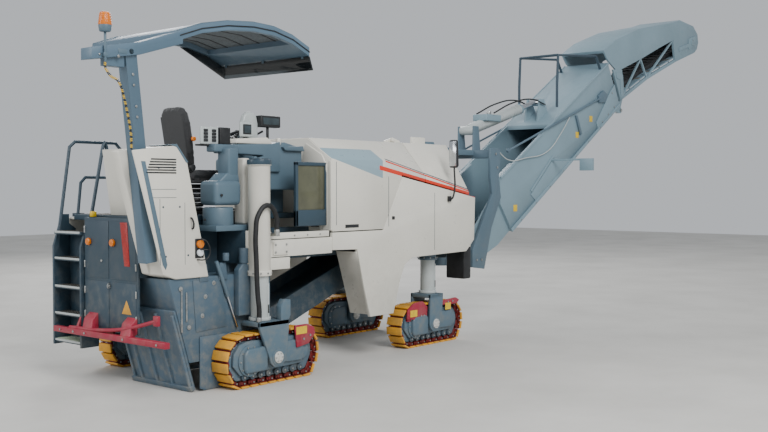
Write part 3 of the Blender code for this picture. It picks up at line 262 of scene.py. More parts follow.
# ------------------------------------------------------------------ track chains and pads
# Four steel chains run round each side frame: dark red links and plates, with a yellow moulded
# polyurethane pad bolted on each plate. One pad, link pair and bolt are made, and copied round.
TRACK_PLACES = {
    "rear_right": (0.0, -0.988, "rear_right_leg_body"), "rear_left": (0.0, 0.988, "rear_left_leg_body"),
    "front_right": (3.11, -0.696, "front_right_steered"), "front_left": (3.11, 0.696, "front_left_steered"),
}
TRACK_LENGTH, TRACK_HEIGHT, PAD_WIDTH, PAD_COUNT = 1.33, 0.55, 0.235, 26
PAD_THICK = 0.022
FOOT_X, FOOT_RADIUS = 0.47, 0.13
HUB_Z = 0.275
pad_yellow = plain_surface("yellow_polyurethane_pad", "#e3a226", "#b98a3a", 0.62, 7.0, 0.0, 0.4)
chain_red = plain_surface("oxide_red_chain_steel", "#7d2424", "#5b2a24", 0.55, 12.0, 0.3, 0.5)
zinc_bolt = plain_surface("zinc_plated_bolt", "#b9bbb9", "#8f918f", 0.35, 30.0, 0.85, 0.2)
# The track rollers get a darker blue-grey than the frames' enamel: painted shade for rollers sitting low
# under the side frames.
painted_shade_roller_enamel = enamel("shaded_undercarriage_enamel", "#3a4a55", 0.5, 0.5)


def block(low, high, edge=0.004, steps=2):
    """A plate or housing between two corners, with its edges broken."""
    low, high = placed(*low), placed(*high)
    bpy.ops.mesh.primitive_cube_add(size=1.0, location=(low + high) / 2)
    made = bpy.context.object
    made.scale = [abs(b - a) for a, b in zip(low, high)]
    bpy.ops.object.transform_apply(location=True, rotation=True, scale=True)
    return broken(made, edge, steps)


def broken(made, edge, steps=2):
    """The same piece with its sharp edges rounded by a bevel."""
    if edge:
        bpy.context.view_layer.objects.active = made
        bevel = made.modifiers.new("edge", "BEVEL")
        bevel.width = edge
        bevel.segments = steps
        bevel.limit_method = "ANGLE"
        bevel.angle_limit = radians(30)
        bpy.ops.object.modifier_apply(modifier="edge")
    return made


def rod(start, end, radius, sides=24, edge=0.003, tip=None):
    """A turned bar from one point to another, chamfered at its ends; tip is its far radius."""
    start, end = placed(*start), placed(*end)
    along = end - start
    turn = along.to_track_quat("Z", "Y").to_euler()
    bpy.ops.mesh.primitive_cone_add(
        vertices=sides, radius1=radius, radius2=radius if tip is None else tip, depth=along.length,
        location=(start + end) / 2, rotation=turn)
    made = bpy.context.object
    bpy.ops.object.transform_apply(location=True, rotation=True, scale=True)
    return broken(made, edge, 2)


def slab(outline, low, high, along="Y", edge=0.004, steps=2):
    """A plate cut to an outline and pushed from low to high along an axis."""
    lay = {"Y": lambda a, b, c: (a, c, b), "X": lambda a, b, c: (c, a, b), "Z": lambda a, b,
           c: (a, b, c)}[along]
    bpy.ops.mesh.primitive_circle_add(vertices=len(outline), fill_type="NGON")
    made = bpy.context.object
    for corner, (a, b) in zip(made.data.vertices, outline):
        corner.co = placed(*lay(a, b, low))
    bpy.ops.object.mode_set(mode="EDIT")
    bpy.ops.mesh.select_all(action="SELECT")
    push = Vector(lay(0, 0, high - low))
    bpy.ops.mesh.extrude_region_move(TRANSFORM_OT_translate={"value": push})
    bpy.ops.mesh.select_all(action="SELECT")
    bpy.ops.mesh.normals_make_consistent(inside=False)
    bpy.ops.object.mode_set(mode="OBJECT")
    made.location = (0, 0, 0)
    return broken(made, edge, steps)


def hose(points, radius, sides=3, smooth=True):
    """A round hose, cable or bent bar through the points, closed at both ends."""
    bpy.ops.curve.primitive_nurbs_path_add()
    made = bpy.context.object
    made.location = (0, 0, 0)
    curve = made.data
    curve.splines.clear()
    spline = curve.splines.new("BEZIER" if smooth else "POLY")
    if smooth:
        spline.bezier_points.add(len(points) - 1)
        for knot, point in zip(spline.bezier_points, points):
            knot.co = placed(*point)
            knot.handle_left_type = knot.handle_right_type = "AUTO"
    else:
        spline.points.add(len(points) - 1)
        for knot, point in zip(spline.points, points):
            knot.co = (*placed(*point), 1.0)
    spline.resolution_u = 8
    curve.dimensions = "3D"
    curve.bevel_depth = radius
    curve.bevel_resolution = sides
    curve.use_fill_caps = True
    bpy.ops.object.select_all(action="DESELECT")
    made.select_set(True)
    bpy.context.view_layer.objects.active = made
    bpy.ops.object.convert(target="MESH")
    bpy.ops.object.mode_set(mode="EDIT")
    bpy.ops.mesh.select_all(action="SELECT")
    bpy.ops.mesh.remove_doubles(threshold=0.0002)
    bpy.ops.mesh.normals_make_consistent(inside=False)
    bpy.ops.object.mode_set(mode="OBJECT")
    return made


def copied(model, shift=(0, 0, 0), turn=None):
    """A copy of a finished shape with its own mesh, moved and turned in that mesh."""
    made = model.copy()
    made.data = model.data.copy()
    bpy.context.scene.collection.objects.link(made)
    if turn:
        made.data.transform(turn)
    made.data.transform(Matrix.Translation(Vector(shift)))
    return made


def discard(*models):
    for model in models:
        bpy.data.objects.remove(model, do_unlink=True)


def fitted(name, parts, paint, body, replaces=(), flat=34):
    """The parts joined into one named piece, painted and fixed to its body, if it rides on one."""
    bpy.ops.object.select_all(action="DESELECT")
    for part in parts:
        part.select_set(True)
    bpy.context.view_layer.objects.active = parts[0]
    if len(parts) > 1:
        bpy.ops.object.join()
    piece = bpy.context.view_layer.objects.active
    piece.name = name
    bpy.ops.object.shade_smooth_by_angle(angle=radians(flat))
    bpy.ops.object.select_all(action="DESELECT")
    piece.data.materials.clear()
    piece.data.materials.append(paint)
    if body:
        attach(piece, body)
    if replaces:
        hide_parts(*replaces)
    return piece


def track_outline(inset):
    """The closed run of a track in its own side view: two end rounds over two foot rounds."""
    end = TRACK_HEIGHT / 2
    rounds = (
        (TRACK_LENGTH / 2 - end, end, end), (-TRACK_LENGTH / 2 + end, end, end),
        (-FOOT_X, FOOT_RADIUS, FOOT_RADIUS), (FOOT_X, FOOT_RADIUS, FOOT_RADIUS),
    )
    points = []
    for (x, z, radius), (first, last) in zip(rounds, ((-20, 90), (90, 200), (200, 270), (270, 340))):
        steps = round((last - first) / 10)
        for step in range(steps + 1):
            turn = radians(first + (last - first) * step / steps)
            points.append(Vector((x + (radius - inset) * cos(turn), z + (radius - inset) * sin(turn))))
    return points


def stations(points, count):
    """Places at even steps round a closed outline, each with the turn that faces outwards there."""
    closed = points + [points[0]]
    runs = list(zip(closed, closed[1:]))
    whole = sum((b - a).length for a, b in runs)
    for k in range(count):
        left = whole * k / count
        for a, b in runs:
            if left <= (b - a).length:
                break
            left -= (b - a).length
        along = (b - a).normalized()
        point = a + along * left
        yield Vector((point.x, 0, point.y)), Matrix.Rotation(atan2(along.y, -along.x), 4, "Y")


# A pad is crowned a little and its outer corners are worn round; it stands on a flat red plate.
pad_model = block((-0.049, -PAD_WIDTH / 2, -PAD_THICK), (0.049, PAD_WIDTH / 2, 0), 0.005, 2)
plate_model = block((-0.057, -0.098, -0.030), (0.057, 0.098, -0.023), 0.0)
links = [block((-0.058, y - 0.011, -0.068), (0.030, y + 0.011, -0.028), 0.004, 1) for y in (-0.052, 0.052)]
links += [block((0.010, y - 0.010, -0.062), (0.060, y + 0.010, -0.034), 0.003, 1) for y in (-0.075, 0.075)]
pin = [rod((0.03, -0.094, -0.048), (0.03, 0.094, -0.048), 0.012, 10, 0.002)]
bolt_model = rod((0, 0, 0), (0, 0, 0.008), 0.011, 6, 0.002, 0.009)
for corner, (track_x, track_y, track_body) in TRACK_PLACES.items():
    centre = Vector((track_x, track_y, 0))
    pads, chain, bolts = [], [], []
    for place, facing in stations(track_outline(0.0), PAD_COUNT):
        # The models stand at the axle, so they go back to the origin before they are turned.
        to_place = Matrix.Translation(place + centre + placed(0, 0,
                                                              0)) @ facing @ Matrix.Translation(-placed(0,
                                                                                                        0,
                                                                                                        0))
        pads.append(copied(pad_model, turn=to_place))
        chain += [copied(model, turn=to_place) for model in (plate_model, *links, *pin)]
        for y in (-0.094, 0.094):
            sideways = Matrix.Translation((0.0, y, -0.048)) @ Matrix.Rotation(-pi / 2 if y > 0 else pi / 2,
                                                                              4, "X")
            bolts.append(copied(bolt_model, turn=to_place @ Matrix.Translation(placed(0, 0, 0)) @ sideways
                                @ Matrix.Translation(-placed(0, 0, 0))))
    fitted(f"{corner}_pads", pads, pad_yellow, track_body, [f"{corner}_track"])
    fitted(f"{corner}_chain", chain, chain_red, track_body)
    fitted(f"{corner}_chain_bolts", bolts, zinc_bolt, track_body)
discard(pad_model, plate_model, *links, *pin, bolt_model)

# ------------------------------------------------------------------ track side frames
# Welded box frames inside the chains: a hydraulic drive motor at the back, an idler in front on a
# greased recoil box, small rollers below, and a red guard with a plain yellow plate over the top.
label_yellow = plain_surface("yellow_label_film", "#e8c21f", "#d3ae1c", 0.4, 20.0, 0.0, 0.05)
hub_white = plain_surface("white_painted_hub", "#d5d6d2", "#b5b4ac", 0.45, 22.0, 0.1, 0.2)
for corner, (track_x, track_y, track_body) in TRACK_PLACES.items():
    outer = 1 if track_y > 0 else -1
    steered = corner.startswith("front")
    x, y = track_x, track_y
    core = slab([(x + p.x, p.y) for p in track_outline(0.075)], y - 0.06, y + 0.06, "Y", 0.01)
    frame_parts, bolt_parts, roller_parts = [core], [], []
    for side in (1, -1):
        face = y + side * 0.0825

        def out(a, b):
            """A range that stands a to b proud of the side frame's face."""
            return sorted((face + side * a, face + side * b))

        lo, hi = out(-0.03, 0.012)
        frame_parts.append(slab([(x + dx, z) for dx, z in (
            (-0.56, 0.24), (-0.55, 0.36), (-0.47, 0.45), (-0.36, 0.475), (0.36, 0.465), (0.44, 0.44),
                                                           (0.50, 0.36),
            (0.42, 0.16), (-0.46, 0.13))], lo, hi, "Y", 0.008))
        frame_parts.append(rod((x - 0.33, face - side * 0.02, 0.275),
                               (x - 0.33, face + side * 0.028, 0.275), 0.165, 36, 0.006))
        lo, hi = out(-0.02, 0.066 if side == outer else 0.04)
        frame_parts.append(slab([(x + dx, z) for dx, z in (
            (-0.42, 0.15), (-0.44, 0.20), (-0.44, 0.35), (-0.40, 0.40), (-0.17, 0.41), (-0.12, 0.37),
                                                           (-0.12, 0.19),
            (-0.16, 0.15))], lo, hi, "Y", 0.022, 3))
        frame_parts.append(rod((x + 0.40, face - side * 0.02, 0.30), (x + 0.40, face + side * 0.032, 0.30),
                               0.10, 30, 0.008))
        lo, hi = out(-0.02, 0.042)
        frame_parts.append(slab([(x + dx, z) for dx, z in (
            (0.13, 0.20), (0.13, 0.38), (0.18, 0.42), (0.40, 0.42), (0.44, 0.37), (0.40, 0.19))], lo, hi,
                                "Y", 0.012, 3))
        for step in range(10):
            turn = 2 * pi * step / 10
            bx, bz = x - 0.33 + 0.142 * cos(turn), 0.275 + 0.142 * sin(turn)
            bolt_parts.append(rod((bx, face + side * 0.026, bz), (bx, face + side * 0.036, bz), 0.010, 6,
                                  0.0))
        for step in range(8):
            rx = x - 0.40 + 0.80 * step / 7
            roller_parts.append(rod((rx, face - side * 0.02, 0.108), (rx, face + side * 0.006, 0.108),
                                    0.036, 18, 0.004))
            bolt_parts.append(rod((rx, face + side * 0.004, 0.108), (rx, face + side * 0.014, 0.108), 0.013,
                                  6, 0.001))
    fitted(f"{corner}_side_frame", frame_parts, steel_enamel, track_body,
           [f"{corner}_track_frame"])
    # The rollers take the darker enamel, as painted shade under the side frames.
    fitted(f"{corner}_rollers", roller_parts, painted_shade_roller_enamel, track_body)
    fitted(f"{corner}_frame_bolts", bolt_parts, zinc_bolt, track_body)
    guard_face = y + outer * (PAD_WIDTH / 2 + 0.004)
    lo, hi = sorted((guard_face, guard_face + outer * 0.022))
    guard_shapes = [[(0.30, 0.335), (0.48, 0.36), (0.58, 0.46), (0.565, 0.53), (0.46, 0.575),
                     (0.27, 0.575)]]
    plates = [(0.29, 0.45, 0.475, 0.555)]
    if steered:
        guard_shapes = [[(-0.56, 0.38), (-0.16, 0.335), (-0.14, 0.50), (-0.24, 0.585), (-0.42, 0.575),
                         (-0.55, 0.50)],
                        [(0.16, 0.50), (0.16, 0.56), (0.48, 0.575), (0.56, 0.54), (0.50, 0.49)]]
        plates = [(-0.50, -0.36, 0.40, 0.485), (0.24, 0.36, 0.43, 0.52)]
    guards = [slab([(x + dx, z) for dx, z in shape], lo, hi, "Y", 0.006) for shape in guard_shapes]
    guards.append(block((x + guard_shapes[0][0][0] + 0.03, y + outer * 0.07, 0.345),
                        (x + guard_shapes[0][0][0] + 0.11, guard_face, 0.385)))
    fitted(f"{corner}_guard", guards, red_enamel, track_body)
    lo, hi = sorted((guard_face + outer * 0.020, guard_face + outer * 0.024))
    labels = [block((x + x0, lo, z0), (x + x1, hi, z1), 0.001, 1) for x0, x1, z0, z1 in plates]
    fitted(f"{corner}_guard_plate", labels, label_yellow, track_body)
    screws = [rod((x + dx, guard_face + outer * 0.02, z), (x + dx, guard_face + outer * 0.03, z), 0.014, 6,
                  0.002)
              for dx, z in (((0.40, 0.42), (0.50, 0.45)) if not steered else ((-0.28, 0.40), (-0.22, 0.40),
                                                                              (0.3, 0.53), (0.4, 0.535)))]
    fitted(f"{corner}_guard_bolts", screws, zinc_bolt, track_body)

# ------------------------------------------------------------------ legs, forks and columns
# Each corner stands on a chrome-grey tube that slides in a bolted column. A fork of thick plate is
# welded on its foot and holds the track frame by a hub with a white cap.
tube_grey = enamel("pale_grey_enamel", "#b9c0bf", 0.28, 0.25)
SLATE = linear(SLATE_COAT)


def dark_cap(tree, where, split, colour):
    """The column's cap is dark slate."""
    share = stepped(tree, split.outputs["Z"], 2.285, 2.287)
    return mixed(tree, share, colour, SLATE)


column_cream = enamel("cream_white_column_enamel", WHITE_COAT, 0.32, 0.3, artwork=dark_cap)
for corner, (track_x, track_y, track_body) in TRACK_PLACES.items():
    x, y = track_x, track_y
    outer = 1 if y > 0 else -1
    steered = corner.startswith("front")
    cx = 3.15 if steered else -0.107
    sides = (1, -1) if corner != "rear_right" else (-1,)
    fork_x = cx - 0.15 - x
    cheek_shape = [(fork_x, 0.66), (fork_x, 0.60), (-0.12, 0.285), (-0.10, 0.22), (-0.05, 0.175),
                   (0.05, 0.175), (0.10, 0.22),
                   (0.12, 0.285), (0.16, 0.56), (0.16, 0.66)]
    low_y = y - (0.1665 if -1 in sides else 0.105)
    high_y = y + (0.1665 if 1 in sides else 0.105)
    fork = [block((x + fork_x, low_y, 0.61), (x + 0.16, high_y, 0.66), 0.006)]
    caps, cap_bolts = [], []
    for side in sides:
        lo, hi = sorted((y + side * 0.1315, y + side * 0.1665))
        fork.append(slab([(x + dx, z) for dx, z in cheek_shape], lo, hi, "Y", 0.006))
        face = y + side * 0.1665
        fork.append(rod((x, face, HUB_Z), (x, face + side * 0.006, HUB_Z), 0.085, 36, 0.003))
        caps.append(rod((x, face + side * 0.004, HUB_Z), (x, face + side * 0.020, HUB_Z), 0.062, 32, 0.006))
        for step in range(6):
            turn = 2 * pi * step / 6
            bx, bz = x + 0.044 * cos(turn), HUB_Z + 0.044 * sin(turn)
            cap_bolts.append(rod((bx, face + side * 0.018, bz), (bx, face + side * 0.026, bz), 0.008, 6,
                                 0.0))
    if not steered:
        # The upright stop beside the rear tube, with a sloping shoulder.
        lo, hi = sorted((y + outer * 0.09, y + outer * 0.165))
        fork.append(slab([(0.045, 0.65), (0.045, 0.80), (0.09, 0.875), (0.185, 0.865), (0.185, 0.70),
                          (0.16, 0.65)], lo, hi, "Y", 0.006))
    fitted(f"{corner}_fork", fork, steel_enamel, track_body,
           [f"{corner}_yoke"] if steered else [f"{corner}_leg"])
    fitted(f"{corner}_hub_cap", caps, hub_white, track_body)
    fitted(f"{corner}_hub_bolts", cap_bolts, zinc_bolt, track_body)
    tube_body = f"{corner}_slide" if steered else track_body
    top = 1.53 if steered else 1.88
    tube = [rod((cx, y, 0.662), (cx, y, top), 0.0962, 40, 0.002),
            rod((cx, y, 0.662), (cx, y, 0.70), 0.118, 40, 0.008)]
    tube.append(block((cx + 0.02, y + outer * 0.088, 0.70), (cx + 0.045, y + outer * 0.100, 1.05), 0.003))
    fitted(f"{corner}_tube", tube, tube_grey, tube_body,
           [f"{corner}_leg_tube"] if steered else ())
    slot_mark = [block((cx + 0.024, y + outer * 0.0965, 0.74), (cx + 0.041, y + outer * 0.103, 0.83),
                       0.003)]
    fitted(f"{corner}_tube_stop", slot_mark, moulded_black, tube_body)
    low, top = (1.10, 1.95) if steered else (1.13, 2.30)
    column_name = corner.replace("_", "_column_")
    rounded(column_name, 0.004, column_cream if not steered else steel_enamel,
            "body_white" if not steered else "frame_steel")
    collar = [rod((cx, y, low), (cx, y, low + 0.055), 0.128, 40, 0.005)] if not steered else [
        rod((cx, y, low), (cx, y, low + 0.03), 0.128, 40, 0.004)]
    bolts = []
    for step in range(10):
        turn = 2 * pi * (step + 0.5) / 10
        bx, by = cx + 0.128 * cos(turn), y + 0.128 * sin(turn)
        bolts.append(rod((bx, by, low + 0.028),
                         (bx + 0.008 * cos(turn), by + 0.008 * sin(turn), low + 0.028), 0.010, 6, 0.0))
    if not steered:
        fitted(f"{corner}_collar", collar, cream_enamel, "chassis")
        fitted(f"{corner}_collar_bolts", bolts, zinc_bolt, "chassis")
        ring = [rod((cx, y, top + 0.04), (cx, y, top + 0.052), 0.10, 32, 0.004)]
        fitted(f"{corner}_column_lid", ring, slate_enamel, "chassis")
    else:
        fitted(f"{corner}_collar", collar, steel_enamel, "chassis")
        fitted(f"{corner}_collar_bolts", bolts, zinc_bolt, "chassis")


# ------------------------------------------------------------------ chassis
# Two long box beams under the engine, a rear cross box and a front wall, welded from slate-painted
# plate. The short beam at the right that carries the rear column is cream white.
def white_beam(tree, where, split, colour):
    """The column's short beam, outside everything else at the right, is cream."""
    outside = stepped(tree, split.outputs["Y"], -0.899, -0.901)
    low_part = stepped(tree, split.outputs["Z"], 1.60, 1.599)
    both = add_node(tree, "ShaderNodeMath", {"operation": "MULTIPLY"}, {0: outside, 1: low_part})
    return mixed(tree, both.outputs[0], colour, linear(WHITE_COAT))


rounded("main_frame", 0.006, enamel("slate_chassis_enamel", SLATE_COAT, 0.45, 0.5, artwork=white_beam))
rounded("pickup_conveyor", 0.004, slate_enamel)
rounded("engine_block", 0.02, cast_iron)
rounded("slew_mount", 0.005, slate_enamel)
beam_parts = [block((0.04, -1.0, 1.175), (0.33, -0.93, 1.30), 0.008),
              block((0.02, -0.995, 1.50), (0.95, -0.92, 1.565), 0.006),
              block((0.08, -1.004, 1.33), (0.30, -0.985, 1.47), 0.004)]
fitted("column_beam_brackets", beam_parts, cream_enamel, "chassis")
beam_bolts = [rod((x, -1.004, z), (x, -1.012, z), 0.013, 6, 0.002) for x in (0.11, 0.27)
              for z in (1.36, 1.44)]
beam_bolts += [rod((x, -0.995, 1.53), (x, -1.003, 1.53), 0.010, 6, 0.002) for x in (0.40, 0.60, 0.80)]
fitted("column_beam_bolts", beam_bolts, zinc_bolt, "chassis")

# ------------------------------------------------------------------ drum box, scraper and edge plates
# A heavy box of 25 mm plate over the cutting drum. The ribbed scraper slides up behind it in two
# guides, and a plate slides up on each side to follow the road.
box_enamel = enamel("drum_box_enamel", "#4a5f6e", 0.45, 0.6)
rounded("drum_housing", 0.006, box_enamel)
rounded("scraper", 0.004, box_enamel)
rounded("side_plate_right", 0.003, box_enamel)
rounded("side_plate_left", 0.003, box_enamel)
box_bolts, box_parts = [], []
for x, z in ((-0.72, 0.95), (-0.76, 0.76), (-0.61, 1.08), (-0.93, 0.66), (-1.03, 1.05)):
    box_bolts.append(rod((x, -0.845, z), (x, -0.858, z), 0.024, 24, 0.004))
    box_bolts.append(rod((x, -0.856, z), (x, -0.868, z), 0.014, 6, 0.002))
for x, low_z, high_z in ((-1.02, 0.62, 1.03), (-0.96, 0.72, 1.01)):
    box_bolts.append(block((x - 0.008, -0.858, low_z), (x + 0.008, -0.845, high_z), 0.003))
box_parts.append(slab([(-0.34, 0.72), (-0.34, 1.20), (-0.28, 1.26), (-0.18, 1.26), (-0.14, 1.20),
                       (-0.14, 0.72)], -0.93, -0.845, "Y", 0.012, 3))
box_parts.append(slab([(-0.84, 0.60), (-0.88, 1.12), (-0.50, 1.12), (-0.44, 0.62)], -0.853, -0.845, "Y",
                      0.004))
box_parts.append(rod((-0.24, -0.89, 1.26), (-0.24, -0.89, 1.42), 0.05, 24, 0.006))
for x in (-0.80, -0.55):
    box_parts.append(slab([(x, 1.10), (x + 0.12, 1.10), (x + 0.10, 1.28), (x + 0.02, 1.28)], -0.86, -0.80,
                          "Y", 0.008))
box_parts.append(rod((-0.47, -0.875, 1.38), (-0.47, -0.875, 1.30), 0.035, 20, 0.004))
fitted("drum_box_fittings", box_parts, box_enamel, "chassis")
fitted("drum_box_bolts", box_bolts, zinc_bolt, "chassis")
side_ram = [rod((-0.59, -0.868, 1.30), (-0.44, -0.868, 0.93), 0.020, 20, 0.003)]
fitted("side_plate_ram", side_ram, steel_enamel, "chassis")
fitted("side_plate_ram_rod", [rod((-0.452, -0.868, 0.96), (-0.31, -0.868, 0.60), 0.010, 16, 0.002)],
       hard_chrome, "chassis")

# ------------------------------------------------------------------ cutting drum
# A steel barrel with a spiral of forged holders, each with a carbide-tipped point pick. One holder
# and pick are made and copied round two spirals that carry the cuttings to the middle.
DRUM_X, DRUM_Z, DRUM_Y = -0.35, 0.50, -0.35
barrel = [rod((DRUM_X, DRUM_Y - 0.455, DRUM_Z), (DRUM_X, DRUM_Y + 0.455, DRUM_Z), 0.335, 48, 0.004),
          rod((DRUM_X, DRUM_Y - 0.468, DRUM_Z), (DRUM_X, DRUM_Y + 0.468, DRUM_Z), 0.12, 32, 0.003)]
holder = [block((DRUM_X - 0.035, -0.022, DRUM_Z + 0.325), (DRUM_X + 0.03, 0.022, DRUM_Z + 0.375), 0.006, 1),
          rod((DRUM_X - 0.02, 0, DRUM_Z + 0.365), (DRUM_X + 0.022, 0, DRUM_Z + 0.402), 0.016, 10, 0.0,
              0.014)]
tip = rod((DRUM_X + 0.02, 0, DRUM_Z + 0.400), (DRUM_X + 0.042, 0, DRUM_Z + 0.420), 0.011, 8, 0.0, 0.003)
holders, tips = [], []
axle = placed(DRUM_X, 0, DRUM_Z)
for half in (1, -1):
    for step in range(38):
        turn = Matrix.Translation(axle) @ Matrix.Rotation(step * 2.05 * half + (0.6 if half > 0 else 0), 4,
                                                          "Y") @ Matrix.Translation(-axle)
        shift = (0, DRUM_Y + half * (0.012 + step * 0.0113), 0)
        holders += [copied(model, shift, turn) for model in holder]
        tips.append(copied(tip, shift, turn))
discard(*holder, tip)
fitted("cutting_drum", barrel + holders, worn_steel, "drum", ["milling_drum"])
fitted("pick_tips", tips, zinc_bolt, "drum")

# ------------------------------------------------------------------ hood, cowl and side panels
# Glass-fibre covers moulded in one colour, cream white. A thick and a thin red-orange stripe run
# down the front half, with a thin dark line above, and a blue-grey patch marks the rear corner.
STRIPE_RED = "#d8391f"
PATCH_BLUE = "#8ba3ae"


def number(tree, kind, first, second):
    """The result of a Math node on two values or sockets."""
    return add_node(tree, "ShaderNodeMath", {"operation": kind}, {0: first, 1: second}).outputs[0]


def band(tree, split, start, end, half_width):
    """One inside a straight band in side view, between two points measured from the axle."""
    slope = (end[1] - start[1]) / (end[0] - start[0])
    line = number(tree, "MULTIPLY_ADD", split.outputs["X"], slope)
    line.node.inputs[2].default_value = start[1] - slope * (start[0] + AXLE_X)
    off = number(tree, "ABSOLUTE", number(tree, "SUBTRACT", split.outputs["Z"], line), 0.0)
    inside = number(tree, "LESS_THAN", off, half_width)
    after = number(tree, "GREATER_THAN", split.outputs["X"], start[0] + AXLE_X)
    return number(tree, "MULTIPLY", inside, after)


def striped(tree, where, split, colour):
    """Stripes and the corner patch, on the outer sides only."""
    aside = number(tree, "GREATER_THAN", number(tree, "ABSOLUTE", split.outputs["Y"], 0.0), 0.80)
    thin = band(tree, split, (1.93, 2.365), (3.69, 1.995), 0.011)
    thick = band(tree, split, (1.82, 2.285), (3.75, 1.945), 0.026)
    dark = band(tree, split, (1.95, 2.388), (3.69, 2.018), 0.007)
    near = number(tree, "LESS_THAN", split.outputs["X"], 1.88 + AXLE_X)
    top_edge = number(tree, "LESS_THAN", split.outputs["Z"], 2.56)
    rise = number(tree, "MULTIPLY_ADD", split.outputs["X"], -0.25)
    rise.node.inputs[2].default_value = 2.37 + 0.25 * (1.03 + AXLE_X)
    above = number(tree, "GREATER_THAN", split.outputs["Z"], rise)
    patch = number(tree, "MULTIPLY", number(tree, "MULTIPLY", near, top_edge), above)
    for share, paint in ((patch, PATCH_BLUE), (thin, STRIPE_RED), (thick, STRIPE_RED), (dark, SLATE_COAT)):
        colour = mixed(tree, number(tree, "MULTIPLY", share, aside), colour, linear(paint))
    return colour


striped_shell = enamel("cream_gelcoat_striped", WHITE_COAT, 0.30, 0.25, artwork=striped)
for node, body in (("engine_hood", "hood"), ("front_cowl", "chassis"), ("side_panel_right", "chassis"),
                   ("side_panel_left", "chassis")):
    rounded(node, 0.010, striped_shell)
rounded("rear_bulkhead", 0.003, cream_enamel)

# The hood's rear face is a moulded panel: a raised keystone between two folded edges.
rear_face = [
    slab([(-1.0, 1.56), (-1.0, 2.37), (-0.62, 2.61), (0.62, 2.61), (1.0, 2.37), (1.0, 1.56)], 0.985, 1.003,
         "X", 0.006),
    slab([(-0.655, 1.565), (-0.53, 2.33), (-0.60, 2.56), (-0.86, 2.42), (-0.93, 2.30), (-0.84, 1.565)],
         0.974, 0.992, "X", 0.012, 3),
    slab([(-0.60, 1.565), (-0.40, 2.10), (-0.37, 2.10), (-0.37, 2.16), (-0.43, 2.16), (-0.62, 1.60)], 0.972,
         0.992, "X", 0.006),
    slab([(-1.0, 1.565), (-1.0, 2.34), (-0.965, 2.36), (-0.965, 1.60), (-0.90, 1.565)], 0.976, 0.992, "X",
         0.005),
]
fitted("hood_rear_face", rear_face, cream_enamel, "hood")
slots = [block((0.968, -0.82, 1.972), (0.980, -0.62, 1.994), 0.004),
         block((0.968, -0.81, 1.60), (0.980, -0.69, 1.612), 0.003)]
fitted("hood_rear_slots", slots, moulded_black, "hood")
handle = [block((1.21, side * 1.0, 1.585), (1.44, side * 1.008, 1.622), 0.004) for side in (1, -1)]
handle += [block((2.05, side * 1.0, 1.66), (2.10, side * 1.007, 1.70), 0.004) for side in (1, -1)]
fitted("panel_grips", handle, moulded_black, "chassis")
seams = []
for side in (1, -1):
    lo, hi = sorted((side * 0.999, side * 1.002))
    for x0, x1, z0, z1 in ((1.985, 1.991, 1.58, 2.18), (1.06, 1.066, 1.62, 2.34),
                           (2.90, 2.905, 1.25, 1.98)):
        seams.append(block((x0, lo, z0), (x1, hi, z1), 0.0))
fitted("panel_seams", seams[:4], slate_enamel, "hood")
fitted("panel_seams_low", seams[4:], slate_enamel, "chassis")
LUG_Y = -0.50
lug = [slab([(3.30, 2.48), (3.34, 2.66), (3.52, 2.66), (3.62, 2.44)], LUG_Y - 0.02, LUG_Y + 0.02, "Y",
            0.006)]
lug += [rod((3.12, -0.48, 2.64), (3.12, -0.44, 2.64), 0.022, 20, 0.004)]
fitted("lifting_lug", lug, steel_enamel, "chassis")
COWL_X = 3.658
air_grille = [block((COWL_X, -0.55 + 0.11 * k, 2.02), (COWL_X + 0.012, -0.47 + 0.11 * k, 2.30), 0.005)
              for k in range(11)]
fitted("cowl_grille", air_grille, moulded_black, "chassis")
lamps = [rod((3.655, y, 2.12), (3.69, y, 2.12), 0.06, 28, 0.008) for y in (-0.75, 0.75)]
lamp_glass = plain_surface("clear_lamp_glass", "#e9eef0", "#d7dee2", 0.08, 30.0, 0.0, 0.1)
fitted("front_lamps", lamps, lamp_glass, "chassis")

# ------------------------------------------------------------------ radiator tank and mirror
# A black moulded tank on the front wall, and the driver's mirror in a black case on a thin arm.
tank_shell = [block((3.785, -0.835, 0.805), (3.945, -0.525, 1.295), 0.02, 3),
              rod((3.86, -0.60, 1.285), (3.86, -0.60, 1.32), 0.035, 24, 0.006)]
tank_shell += [block((3.943, -0.80 + 0.09 * k, 0.86), (3.952, -0.76 + 0.09 * k, 1.24), 0.004)
               for k in range(3)]
fitted("front_tank_shell", tank_shell, moulded_black, "chassis", ["front_tank"])
mirror_case = [slab([(-1.15, 2.33), (-1.135, 2.645), (-1.12, 2.66), (-1.04, 2.66), (-1.02, 2.64),
                     (-1.02, 2.32), (-1.04, 2.30), (-1.13, 2.30)],
                    3.175, 3.225, "X", 0.012, 3),
               hose([(3.20, -1.01, 1.90), (3.20, -1.05, 1.90), (3.20, -1.085, 1.96), (3.20, -1.09, 2.34)],
                    0.012),
               block((3.17, -1.03, 1.865), (3.23, -1.0, 1.935), 0.006)]
fitted("mirror_case", mirror_case, moulded_black, "chassis", ["mirror"])
fitted("mirror_glass", [block((3.170, -1.14, 2.32), (3.176, -1.03, 2.64), 0.004)], hard_chrome, "chassis")


